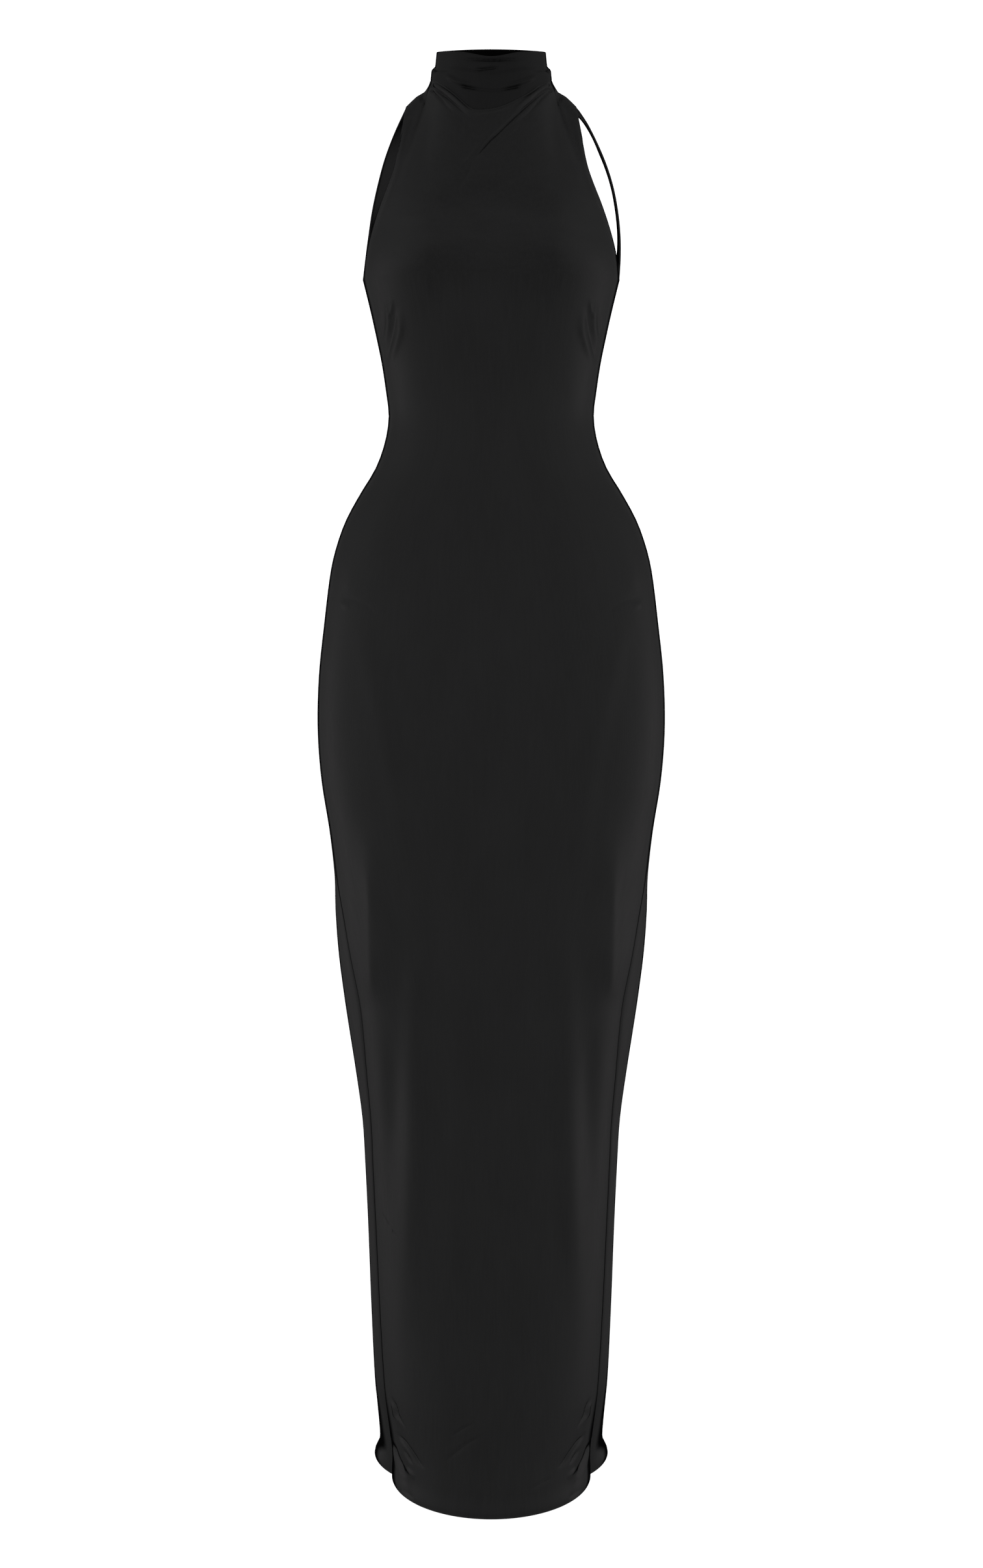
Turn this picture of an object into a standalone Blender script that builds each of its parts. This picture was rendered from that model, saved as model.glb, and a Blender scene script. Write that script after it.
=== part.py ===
"""High-neck maxi dress in black stretch jersey, shown filled out as it is worn.

Five pieces of cloth are modelled as thin walls: a doubled collar, a front panel, a back
panel with a low scooped edge, and two bands that join the shoulder seams to the back.
Metres, +Z up, the front faces -Y and +X is on the right of someone who looks at the front.
The origin is the middle of the neck at the height where the shoulders start, which is where
the wearer carries the dress.
"""

import math
from collections import namedtuple

import bmesh
import bpy
from mathutils import Vector

MM = 0.001

# Cloth thickness and the gap that parts two pieces along a seam.
JERSEY_WALL = 1.6 * MM
DOUBLED_WALL = 2.4 * MM
SEAM_GAP = 0.3 * MM

UNDERARM_Z = -187 * MM  # height of the underarm, below the shoulder level

# Horizontal sections of the body of the dress, in millimetres.
#   half_width  widest point of the outline
#   front       reach of the centre front
#   back        reach of the centre back
#   side_y      depth of the widest point
#   seam_in     how far the side seam sits inside the widest point
#   seam_y      depth of the side seam
Section = namedtuple("Section", "z half_width front back side_y seam_in seam_y")
SECTIONS = [
    Section(-187, 130.5, 107, 92, 2, 0, 2),
    Section(-219, 122.7, 103, 87, 2, 0, 2),
    Section(-245, 117.0, 99, 82, 2, 0, 2),
    Section(-271, 111.7, 95, 78, 2, 0, 2),
    Section(-298, 107.7, 91, 75, 2, 0, 2),
    Section(-324, 104.9, 89, 74, 2, 0, 2),
    Section(-350, 108.8, 88, 77, 3, 0, 3),
    Section(-377, 118.6, 89, 84, 3, 0, 3),
    Section(-403, 134.5, 92, 93, 4, 0, 4),
    Section(-430, 149.3, 96, 103, 4, 0, 4),
    Section(-457, 159.3, 100, 112, 5, 0, 5),
    Section(-483, 165.5, 103, 118, 5, 0, 5),
    Section(-537, 172.6, 107, 124, 6, 0, 6),
    Section(-590, 178.4, 109, 126, 6, 0, 6),
    Section(-645, 180.1, 110, 124, 6, 0, 6),
    Section(-699, 176.5, 110, 119, 6, 0, 6),
    Section(-753, 168.4, 110, 113, 6, 0, 6),
    Section(-800, 163.5, 110, 109, 6, 0.6, 5),
    Section(-836, 162.7, 110, 107, 7, 4.5, 0),
    Section(-880, 159.7, 110, 105, 8, 10.5, -6),
    Section(-925, 154.3, 110, 104, 10, 14.8, -11),
    Section(-955, 149.9, 111, 103, 12, 15.5, -13),
    Section(-1002, 142.5, 111, 102, 14, 12.8, -13),
    Section(-1055, 135.3, 112, 101, 18, 9.8, -12),
    Section(-1100, 132.7, 113, 101, 21, 8.8, -10),
    Section(-1170, 129.9, 114, 102, 26, 8.8, -6),
    Section(-1260, 127.2, 115, 105, 32, 9.8, -1),
    Section(-1342, 124.2, 117, 109, 38, 11.2, 3),
    Section(-1395, 120.4, 118, 116, 45, 12.8, 5),
    Section(-1425, 122.4, 119, 127, 62, 16.4, 7),
    Section(-1451, 128.0, 120, 140, 80, 21.4, 9),
]

# Bands of rows along the body: closer rows where the outline or the folds turn fast.
RowBand = namedtuple("RowBand", "z_end rows")
BODY_ROWS = [
    RowBand(-280, 8),
    RowBand(-500, 9),
    RowBand(-820, 7),
    RowBand(-1060, 6),
    RowBand(-1380, 6),
    RowBand(-1451, 5),
]
CHEST_ROWS = 18
CHEST_ROW_POWER = 1.25  # rows are closer near the shoulder
FRONT_COLUMNS = 32
BACK_COLUMNS = 24
ROW_MERGE_Z = -430 * MM  # below this level the back panel's rows are level

# The collar is a slouchy ring. Its reach from the middle of the neck grows with the distance
# below the rim, and steps out under a crease that runs all round.
RIM_HALF_WIDTH = 55.0 * MM
RIM_DEPTH = 55.0 * MM
RIM_SLOPE = 0.095  # growth of the reach for each unit below the rim
CREASE_BELOW_RIM = 15.5 * MM
CREASE_LENGTH = 1.9 * MM
CREASE_STEP_SIDE = 3.5 * MM
CREASE_STEP_FRONT = 1.4 * MM
CREASE_NIP = 0.8 * MM
RIM_Z = 40.6 * MM
RIM_TILT = 7.0 * MM  # the back of the rim is higher than the front
RIM_SAG = 1.0 * MM  # and its sides are a little lower than both
RIM_DIP = 5.6 * MM  # droop of the soft rim at the centre front
RIM_DIP_ANGLE = 0.42
COLLAR_COLUMNS = 48
COLLAR_ROWS = 12

# Height of the neck seam round the neck, in degrees from the centre front and millimetres.
SeamPoint = namedtuple("SeamPoint", "angle z")
NECK_SEAM = [
    SeamPoint(0, -25.4),
    SeamPoint(11, -25.0),
    SeamPoint(19, -22.8),
    SeamPoint(26, -16.5),
    SeamPoint(33, -10.2),
    SeamPoint(41, -4.4),
    SeamPoint(51, 1.4),
    SeamPoint(67, 7.6),
    SeamPoint(90, 11.5),
    SeamPoint(130, 13.5),
    SeamPoint(180, 14.5),
]
NECK_JOIN_ANGLE = math.pi / 2  # where the shoulder seam meets the neck seam

# Shoulder seam from the neck seam (share 0) to the shoulder tip (share 1), in millimetres.
ShoulderPoint = namedtuple("ShoulderPoint", "share x y z")
SHOULDER = [
    ShoulderPoint(0.00, 61.2, 0.0, 11.5),
    ShoulderPoint(0.25, 63.6, 2.4, 5.6),
    ShoulderPoint(0.50, 67.9, 4.0, 0.0),
    ShoulderPoint(0.60, 71.6, 4.8, -2.1),
    ShoulderPoint(0.75, 76.8, 5.6, -5.0),
    ShoulderPoint(1.00, 86.3, 7.0, -14.0),
]
SHOULDER_COLUMNS = 4  # columns of the front panel, on each side, that end at a shoulder seam
SHOULDER_SHARE = 2 * SHOULDER_COLUMNS / FRONT_COLUMNS

# Armhole edge of the front panel, from the shoulder tip (share 0) to the underarm (share 1),
# in millimetres.
Edge = namedtuple("Edge", "share x y z")
ARMHOLE = [
    Edge(0.00, 86.3, 7, -14),
    Edge(0.03, 86.5, 2, -14.8),
    Edge(0.07, 87.0, -4, -18),
    Edge(0.14, 88.2, -13, -29),
    Edge(0.27, 92.4, -25, -53),
    Edge(0.40, 97.2, -34, -79),
    Edge(0.50, 103.0, -36, -98),
    Edge(0.60, 110.4, -33, -117),
    Edge(0.74, 119.6, -24, -143),
    Edge(0.85, 125.4, -14, -162),
    Edge(1.00, 130.5, 2, -187),
]
EDGE_HOLD = 2.5  # how fast the armhole's own curve fades towards the centre front

# Fullness of the bust: a soft swell that bridges the centre and ends before the armholes. Its
# crest dips from the centre to the sides.
BUST_RISE = 17.0 * MM
BUST_X = 62.0 * MM
BUST_Z_CENTRE = -112.0 * MM
BUST_Z_SIDE = -136.0 * MM
BUST_REACH_UP = 62.0 * MM
BUST_REACH_DOWN = 36.0 * MM
BUST_REACH_SIDE = 44.0 * MM
BUST_EDGE_POWER = 6

# The bands behind the armholes: both edges of each, from the shoulder seam (share 0) to the
# back panel (share 1), in millimetres.
#   arm_*   the edge beside the armhole
#   back_*  the edge beside the open back
Band = namedtuple("Band", "share arm_x arm_y arm_z back_x back_y back_z")
LEFT_BAND = [
    Band(0.00, 86.3, 7, -14, 61.2, 0, 11.5),
    Band(0.03, 86.9, 12, -14.8, 61.8, 8, 10),
    Band(0.07, 88.8, 17, -18, 63.8, 13, 5),
    Band(0.18, 98.6, 30, -37, 77, 25, -24),
    Band(0.32, 109.0, 39, -63, 88, 34, -56),
    Band(0.46, 116.4, 42, -89, 96, 38, -86),
    Band(0.60, 122.2, 40, -115, 104, 40, -114),
    Band(0.74, 126.2, 32, -141, 113, 40, -142),
    Band(0.88, 128.8, 17, -165, 121, 35, -166),
    Band(1.00, 130.5, 2, -187, 125.9, 24.5, -187),
]
RIGHT_BAND = [
    Band(0.00, 86.3, 7, -14, 61.2, 0, 11.5),
    Band(0.03, 87.0, 11, -14.8, 62.6, 8, 9),
    Band(0.07, 90.5, 14, -18.5, 70.0, 18, -1),
    Band(0.16, 100.2, 18, -33, 96.0, 36, -28),
    Band(0.32, 114.9, 22, -63, 113.2, 43, -61),
    Band(0.46, 124.0, 23, -89, 123.0, 44, -88),
    Band(0.60, 129.4, 22, -115, 128.4, 43, -115),
    Band(0.74, 132.0, 17, -141, 130.6, 39, -141),
    Band(0.88, 132.0, 9, -165, 129.4, 32, -165),
    Band(1.00, 130.5, 2, -187, 125.9, 24.5, -187),
]
BAND_ROWS = 18
BAND_COLUMNS = SHOULDER_COLUMNS
BOW_REACH = 0.22  # share of a band over which the bow of the shoulder seam fades
BAND_FOOT = 24.0 * MM  # width of the band where it meets the back panel
SCOOP_DEPTH = 105.0 * MM  # drop of the open back from the underarm to the centre back

# Folds drawn on the front view (x, z) in millimetres, each through its start, middle and end:
# a soft trough when depth is negative, a ridge when it is positive. width is the reach to
# each side of its line.
Fold = namedtuple("Fold", "piece x0 z0 x1 z1 x2 z2 width depth")
FOLDS = [
    Fold("collar", -38, 29, 0, 26, 38, 29, 3.5, -1.2),
    Fold("collar", -18, 16.5, 0, 16.5, 12, 17.5, 4, -1.2),
    Fold("collar", -47, 13, 0, -1, 48, 12.5, 4.5, 1.2),
    Fold("collar", -30, 1, 0, -5, 30, 1, 4, -1.4),
    Fold("front", -60, 3, -42, -15, -19, -34, 5.5, -2.0),
    Fold("front", -60, -1, -46, -16, -33, -30, 5, -1.4),
    Fold("front", 60, 3, 16, -37, -24, -82, 5.5, -2.6),
    Fold("front", 62, -1, 42, -17, 28, -31, 5, -1.4),
    Fold("front", -70, -5, -69, -13, -66, -21, 4, -2.0),
    Fold("front", 70, -5, 69, -14, 66.5, -21, 4, -2.0),
    Fold("front", -78, -11, -78.5, -22, -77.5, -32, 5, -2.4),
    Fold("front", 78, -11, 78.5, -21, 79, -31, 5, -2.4),
    Fold("front", -95, -226, -100, -246, -103, -270, 6, -2.4),
    Fold("front", 95, -226, 100, -246, 103, -270, 6, -2.4),
    Fold("front", -104, -208, -105, -236, -105.5, -262, 6, 1.6),
    Fold("front", 104, -208, 105, -236, 105.5, -262, 6, 1.6),
    Fold("front", -151, -512, -128, -518, -98, -526, 9, -1.4),
    Fold("front", 151, -512, 128, -518, 98, -526, 9, -1.4),
    Fold("front", -99, -1380, -87, -1405, -70, -1440, 10, -3.2),
    Fold("front", 101, -1383, 88, -1407, 71, -1440, 10, -3.2),
    Fold("front", -49, -1400, -28, -1376, -8, -1360, 9, -1.6),
    Fold("front", 38, -1427, 53, -1419, 68, -1412, 9, -1.6),
    Fold("back", -112, -205, -94, -250, -84, -300, 12, -2.4),
    Fold("back", 112, -205, 94, -250, 84, -300, 12, -2.4),
    Fold("back", -104, -318, -50, -334, 6, -336, 12, -2.6),
    Fold("back", 104, -332, 60, -348, 20, -352, 12, -2.4),
    Fold("back", -150, -735, -88, -716, -20, -722, 18, -2.4),
    Fold("back", 150, -735, 86, -714, 16, -718, 18, -2.4),
    Fold("back", -118, -1350, -94, -1404, -62, -1445, 14, -3.6),
    Fold("back", 118, -1350, 90, -1400, 50, -1445, 14, -3.6),
]
FOLD_STEPS = 12
SEAM_HOLD = {0: 0.0, 1: 0.6}  # share of a fold's depth on a seam and one step away from it

CLOTH_COLOUR = (0.010, 0.010, 0.011, 1.0)
CLOTH_ROUGHNESS = 0.45
SHARP_ANGLE = math.radians(50)


def clear_scene():
    """Start from an empty scene."""
    for obj in list(bpy.data.objects):
        bpy.data.objects.remove(obj, do_unlink=True)


def jersey_material():
    """Black slinky jersey."""
    material = bpy.data.materials.new("black_jersey")
    material.use_nodes = True
    shader = material.node_tree.nodes["Principled BSDF"]
    shader.inputs["Base Color"].default_value = CLOTH_COLOUR
    shader.inputs["Roughness"].default_value = CLOTH_ROUGHNESS
    shader.inputs["Metallic"].default_value = 0.0
    return material


def smooth_row(table, place):
    """Read a table of millimetres at a place between its rows, with a smooth cubic."""
    keys = [row[0] for row in table]
    going_down = keys[0] > keys[-1]
    last = len(table) - 2
    low = 0
    while low < last and (keys[low + 1] > place if going_down else keys[low + 1] < place):
        low += 1
    k0, k1 = keys[low], keys[low + 1]
    share = min(max((place - k0) / (k1 - k0), 0.0), 1.0)
    values = []
    for column in range(1, len(table[0])):
        slopes = []
        for index in (low, low + 1):
            before = max(index - 1, 0)
            after = min(index + 1, len(table) - 1)
            rise = table[after][column] - table[before][column]
            slopes.append(rise / (keys[after] - keys[before]) * (k1 - k0))
        a, b = table[low][column], table[low + 1][column]
        h = share * share * (3 - 2 * share)
        tangent_a = share * (1 - share) ** 2 * slopes[0]
        tangent_b = share * share * (share - 1) * slopes[1]
        values.append(a + (b - a) * h + tangent_a + tangent_b)
    return values


def body_section(z):
    """The section of the body at a height in metres, with its lengths in metres."""
    values = smooth_row(SECTIONS, z / MM)
    return Section(z, *[value * MM for value in values])


def front_of_body(across, z):
    """Point on the front half of a section; across runs from -1 to 1 between the seams."""
    cut = body_section(z)
    angle = across * math.pi / 2
    seam_x = cut.half_width - cut.seam_in
    x = seam_x * math.sin(angle)
    y = cut.seam_y - (cut.seam_y + cut.front) * math.cos(angle)
    return Vector((x, y, z))


def back_of_body(across, z):
    """Point on the back half of a section; across runs from -1 to 1 between the seams."""
    cut = body_section(z)
    seam_turn = math.acos(min(1.0, (cut.half_width - cut.seam_in) / cut.half_width))
    turn = math.pi / 2 - abs(across) * (math.pi / 2 + seam_turn)
    x = cut.half_width * math.cos(turn)
    if turn >= 0:
        y = cut.side_y + (cut.back - cut.side_y) * math.sin(turn)
    else:
        y = cut.side_y + (cut.side_y - cut.seam_y) * math.sin(turn) / math.sin(seam_turn)
    return Vector((math.copysign(x, across), y, z))


def rim_height(angle):
    """Height of the collar's rim; angle is 0 at the centre front and pi at the back."""
    turned = math.remainder(angle, math.tau)
    level = RIM_Z - RIM_TILT * math.cos(turned) + RIM_SAG * math.cos(2 * turned)
    return level - RIM_DIP * math.exp(-((turned / RIM_DIP_ANGLE) ** 2))


def collar_at(angle, z):
    """Point of the collar's outer face at an angle round the neck and a height."""
    below = rim_height(angle) - z
    step = 0.5 + 0.5 * math.tanh((below - CREASE_BELOW_RIM) / CREASE_LENGTH)
    nip = CREASE_NIP * math.exp(-(((below - CREASE_BELOW_RIM) / CREASE_LENGTH) ** 2))
    grown = RIM_SLOPE * below - nip
    x_reach = RIM_HALF_WIDTH + grown + CREASE_STEP_SIDE * step
    y_reach = RIM_DEPTH + grown + CREASE_STEP_FRONT * step
    return Vector((x_reach * math.sin(angle), -y_reach * math.cos(angle), z))


def neck_seam(angle):
    """Point of the neck seam; angle is 0 at the centre front and pi at the centre back."""
    turned = abs(math.degrees(math.remainder(angle, math.tau)))
    return collar_at(angle, smooth_row(NECK_SEAM, turned)[0] * MM)


def armhole_edge(share):
    """Point of the right armhole edge, from the shoulder tip (0) to the underarm (1)."""
    return Vector(smooth_row(ARMHOLE, share)) * MM


def shoulder_seam(along):
    """Point of the right shoulder seam, from the neck seam (0) to the shoulder tip (1)."""
    return Vector(smooth_row(SHOULDER, along)) * MM


def seam_bow(along):
    """How far the right shoulder seam bends away from the straight line between its ends."""
    return shoulder_seam(along) - shoulder_seam(0).lerp(shoulder_seam(1), along)


def front_top_edge(across):
    """Top edge of the front panel: neck seam in the middle, a shoulder seam at each end."""
    neck_share = 1 - SHOULDER_SHARE
    if abs(across) <= neck_share:
        return neck_seam(across / neck_share * NECK_JOIN_ANGLE)
    point = shoulder_seam((abs(across) - neck_share) / SHOULDER_SHARE)
    return Vector((math.copysign(point.x, across), point.y, point.z))


def hanging_run(across, share):
    """Run of cloth from the top edge down to the underarm level, where it joins smoothly."""
    top = front_top_edge(across)
    foot = front_of_body(across, UNDERARM_Z)
    chord = foot - top
    slope = (foot - front_of_body(across, UNDERARM_Z - MM)) / MM
    arrival = slope * chord.z
    s2, s3 = share**2, share**3
    point = top * (2 * s3 - 3 * s2 + 1) + foot * (3 * s2 - 2 * s3)
    return point + chord * (s3 - 2 * s2 + share) + arrival * (s3 - s2)


def chest_point(across, share):
    """Front panel above the underarm: hanging runs that bend into the armhole edges."""
    point = hanging_run(across, share)
    bend = armhole_edge(share) - hanging_run(1, share)
    bend.x = math.copysign(bend.x, bend.x * across)
    return point + bend * abs(across) ** EDGE_HOLD


def bust_rise(across, point):
    """How far the bust fills out the front panel at a point."""
    from_middle = min(abs(point.x) / BUST_X, 1)
    crest = BUST_Z_CENTRE + (BUST_Z_SIDE - BUST_Z_CENTRE) * from_middle**2
    up = point.z - crest
    level = up / (BUST_REACH_UP if up > 0 else BUST_REACH_DOWN)
    side = max(abs(point.x) - BUST_X, 0) / BUST_REACH_SIDE
    edge = 1 - abs(across) ** BUST_EDGE_POWER
    return BUST_RISE * edge * math.exp(-(level**2) - side**2)


def body_levels():
    """Heights of the rows below the underarm, in metres."""
    levels = [UNDERARM_Z]
    for band in BODY_ROWS:
        start = levels[-1]
        for step in range(1, band.rows + 1):
            levels.append(start + (band.z_end * MM - start) * step / band.rows)
    return levels


def scoop_drop(across):
    """Drop of the back panel's top edge below the underarm, 0 where the bands are sewn."""
    cut = body_section(UNDERARM_Z)
    foot_share = BAND_FOOT / (math.pi / 2 * (cut.half_width + cut.back) / 2)
    inward = (1 - foot_share - abs(across)) / (1 - foot_share)
    return SCOOP_DEPTH * math.sin(max(inward, 0) * math.pi / 2) ** 1.3


def fold_height(piece, point):
    """Sum of the folds of a piece at a point, in metres."""
    total = 0.0
    for fold in FOLDS:
        if fold.piece != piece or (piece == "collar" and point.y > 0):
            continue
        start = Vector((fold.x0, fold.z0)) * MM
        end = Vector((fold.x2, fold.z2)) * MM
        pull = Vector((fold.x1, fold.z1)) * 2 * MM - (start + end) / 2
        nearest, place = None, 0.0
        for step in range(FOLD_STEPS + 1):
            t = step / FOLD_STEPS
            on_fold = start * (1 - t) ** 2 + pull * 2 * t * (1 - t) + end * t * t
            distance = (on_fold - Vector((point.x, point.z))).length
            if nearest is None or distance < nearest:
                nearest, place = distance, t
        fade = math.sin(math.pi * min(max(place, 0.04), 0.96)) ** 0.5
        total += fold.depth * MM * fade * math.exp(-(nearest / (fold.width * MM)) ** 2)
    return total


def cloth_wall(name, rows, normals, closed, wall, material):
    """Make a closed cloth wall from a grid of points on its outer face.

    Rows run from the top down, and each row from left to right as seen from outside. The
    inner face lies one wall thickness behind the outer one, along the normals.
    """
    bm = bmesh.new()
    outer = [[bm.verts.new(point) for point in row] for row in rows]
    inner = [
        [bm.verts.new(point - normal * wall) for point, normal in zip(row, line)]
        for row, line in zip(rows, normals)
    ]
    count = len(rows[0])
    steps = count if closed else count - 1
    for r in range(len(rows) - 1):
        for c in range(steps):
            n = (c + 1) % count
            bm.faces.new((outer[r][c], outer[r + 1][c], outer[r + 1][n], outer[r][n]))
            bm.faces.new((inner[r][n], inner[r + 1][n], inner[r + 1][c], inner[r][c]))
    for c in range(steps):
        n = (c + 1) % count
        bm.faces.new((inner[0][c], outer[0][c], outer[0][n], inner[0][n]))
        bm.faces.new((outer[-1][c], inner[-1][c], inner[-1][n], outer[-1][n]))
    if not closed:
        for r in range(len(rows) - 1):
            bm.faces.new((inner[r][0], inner[r + 1][0], outer[r + 1][0], outer[r][0]))
            bm.faces.new((outer[r][-1], outer[r + 1][-1], inner[r + 1][-1], inner[r][-1]))
    mesh = bpy.data.meshes.new(name)
    bm.to_mesh(mesh)
    bm.free()
    mesh.shade_smooth()
    mesh.set_sharp_from_angle(angle=SHARP_ANGLE)
    mesh.materials.append(material)
    obj = bpy.data.objects.new(name, mesh)
    bpy.context.collection.objects.link(obj)
    return obj


def surface_normals(rows, closed):
    """Outward direction at each point of a grid of points."""
    normals = []
    count = len(rows[0])
    for r, row in enumerate(rows):
        above = rows[max(r - 1, 0)]
        below = rows[min(r + 1, len(rows) - 1)]
        line = []
        for c in range(count):
            if closed:
                before, after = row[c - 1], row[(c + 1) % count]
            else:
                before, after = row[max(c - 1, 0)], row[min(c + 1, count - 1)]
            down = below[c] - above[c]
            line.append(down.cross(after - before).normalized())
        normals.append(line)
    return normals


def seam_hold(steps):
    """Share of a fold's depth that is left a number of rows or columns away from a seam."""
    return SEAM_HOLD.get(steps, 1.0)


def add_folds(rows, piece, top_seam, foot_seam, side_seams):
    """Move the points of a grid out or in along their normals by the piece's folds."""
    normals = surface_normals(rows, not side_seams)
    for r, (row, line) in enumerate(zip(rows, normals)):
        held = 1.0
        if top_seam:
            held *= seam_hold(r)
        if foot_seam:
            held *= seam_hold(len(rows) - 1 - r)
        for c, (point, normal) in enumerate(zip(row, line)):
            side = seam_hold(min(c, len(row) - 1 - c)) if side_seams else 1.0
            point += normal * fold_height(piece, point) * held * side


def seam_normals(rows, normals, first):
    """Turn the wall at both side edges so that the two pieces of a seam lie face to face."""
    for r in range(first, len(rows)):
        for column in (0, -1):
            down = rows[min(r + 1, len(rows) - 1)][column] - rows[r - 1][column]
            down.normalize()
            out = Vector((math.copysign(1, rows[r][column].x), 0, 0))
            normals[r][column] = (out - down * out.dot(down)).normalized()


def level_normal(point):
    """Level direction out of the back of the body, which the bands and back panel share."""
    cut = body_section(UNDERARM_Z)
    out_x = point.x / cut.half_width**2
    out_y = (point.y - cut.side_y) / (cut.back - cut.side_y) ** 2
    return Vector((out_x, out_y, 0)).normalized()


def neck_normal(angle):
    """Direction away from the neck, which the two pieces share along the neck seam."""
    return Vector((math.sin(angle), -math.cos(angle), 0))


def shoulder_normal(along):
    """Direction square to the right shoulder seam, up and outward."""
    before = shoulder_seam(max(along - 0.1, 0))
    after = shoulder_seam(min(along + 0.1, 1))
    run = after - before
    return Vector((-run.z, 0, run.x)).normalized()


def inset_row(row, gap):
    """Shorten a row of points by a gap at each end."""
    first = row[1] - row[0]
    last = row[-2] - row[-1]
    row[0] += first.normalized() * gap
    row[-1] += last.normalized() * gap


def lower_row(row, below, gap):
    """Move a top row of points towards the row below it by a gap."""
    for point, under in zip(row, below):
        point += (under - point).normalized() * gap


def make_front_panel(material):
    """Front panel, from the neck and shoulder seams to the hem."""
    across = [2 * c / FRONT_COLUMNS - 1 for c in range(FRONT_COLUMNS + 1)]
    rows = []
    for r in range(CHEST_ROWS):
        share = (r / CHEST_ROWS) ** CHEST_ROW_POWER
        rows.append([chest_point(u, share) for u in across])
    for z in body_levels():
        rows.append([front_of_body(u, z) for u in across])
    for row in rows[1:]:
        for u, point in zip(across, row):
            point.y -= bust_rise(u, point)
    add_folds(rows, "front", True, False, True)
    for row in rows[CHEST_ROWS:]:
        inset_row(row, SEAM_GAP / 2)
    lower_row(rows[0], rows[1], SEAM_GAP / 2)
    normals = surface_normals(rows, False)
    seam_normals(rows, normals, CHEST_ROWS)
    neck_share = 1 - SHOULDER_SHARE
    for c, u in enumerate(across):
        if abs(u) <= neck_share:
            normals[0][c] = neck_normal(u / neck_share * NECK_JOIN_ANGLE)
        else:
            square = shoulder_normal((abs(u) - neck_share) / SHOULDER_SHARE)
            normals[0][c] = Vector((math.copysign(square.x, u), 0, square.z))
    return cloth_wall("front_panel", rows, normals, False, JERSEY_WALL, material)


def make_back_panel(material):
    """Back panel, from its scooped top edge to the hem."""
    across = [1 - 2 * c / BACK_COLUMNS for c in range(BACK_COLUMNS + 1)]
    rows = []
    for level in body_levels():
        row = []
        for u in across:
            z = level
            if level > ROW_MERGE_Z:
                share = (UNDERARM_Z - level) / (UNDERARM_Z - ROW_MERGE_Z)
                z = level - scoop_drop(u) * (1 - share)
            row.append(back_of_body(u, z))
        rows.append(row)
    add_folds(rows, "back", False, False, True)
    for row in rows:
        inset_row(row, SEAM_GAP / 2)
    lower_row(rows[0], rows[1], SEAM_GAP / 2)
    normals = surface_normals(rows, False)
    seam_normals(rows, normals, 1)
    normals[0] = [level_normal(point) for point in rows[0]]
    return cloth_wall("back_panel", rows, normals, False, JERSEY_WALL, material)


def make_band(name, table, side, material):
    """One band behind an armhole; side is 1 on +X and -1 on -X."""
    alongs = [1 - c / BAND_COLUMNS for c in range(BAND_COLUMNS + 1)]
    rows = []
    for r in range(BAND_ROWS + 1):
        share = (r / BAND_ROWS) ** CHEST_ROW_POWER
        arm_x, arm_y, arm_z, back_x, back_y, back_z = smooth_row(table, share)
        arm = Vector((arm_x, arm_y, arm_z)) * MM
        back = Vector((back_x, back_y, back_z)) * MM
        bow = max(1 - share / BOW_REACH, 0) ** 2
        rows.append([back.lerp(arm, along) + seam_bow(along) * bow for along in alongs])
    lower_row(rows[0], rows[1], SEAM_GAP)
    lower_row(rows[-1], rows[-2], SEAM_GAP / 2)
    normals = surface_normals(rows, False)
    normals[0] = [shoulder_normal(along) for along in alongs]
    normals[-1] = [level_normal(point) for point in rows[-1]]
    if side < 0:
        for grid in (rows, normals):
            for row in grid:
                row.reverse()
                for point in row:
                    point.x = -point.x
    return cloth_wall(name, rows, normals, False, JERSEY_WALL, material)


def make_collar(material):
    """The doubled collar, a closed ring of cloth."""
    angles = [math.tau * c / COLLAR_COLUMNS for c in range(COLLAR_COLUMNS)]
    rows = []
    for r in range(COLLAR_ROWS + 1):
        share = r / COLLAR_ROWS
        row = []
        for angle in angles:
            rim, foot = rim_height(angle), neck_seam(angle).z
            row.append(collar_at(angle, rim + (foot - rim) * share))
        rows.append(row)
    add_folds(rows, "collar", False, True, False)
    lower_row(rows[-1], rows[-2], SEAM_GAP / 2)
    normals = surface_normals(rows, True)
    normals[-1] = [neck_normal(angle) for angle in angles]
    return cloth_wall("collar", rows, normals, True, DOUBLED_WALL, material)


def main():
    clear_scene()
    jersey = jersey_material()
    make_collar(jersey)
    make_front_panel(jersey)
    make_back_panel(jersey)
    make_band("strap_left", LEFT_BAND, -1, jersey)
    make_band("strap_right", RIGHT_BAND, 1, jersey)


main()
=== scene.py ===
# %% [markdown]
# # A black high-neck maxi dress in slinky jersey
#
# The imported solids of the dress are loaded first and stay as they are. Five pieces of cloth then
# take their places: the doubled collar, the front panel, the back panel and two shoulder bands.
# Each is a sheet with turned edges and with creases that are placed one by one.

# %% Load the frame
import math
from collections import namedtuple

import bmesh
import bpy
import numpy as np
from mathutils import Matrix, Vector
from numpy.linalg import norm


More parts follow.
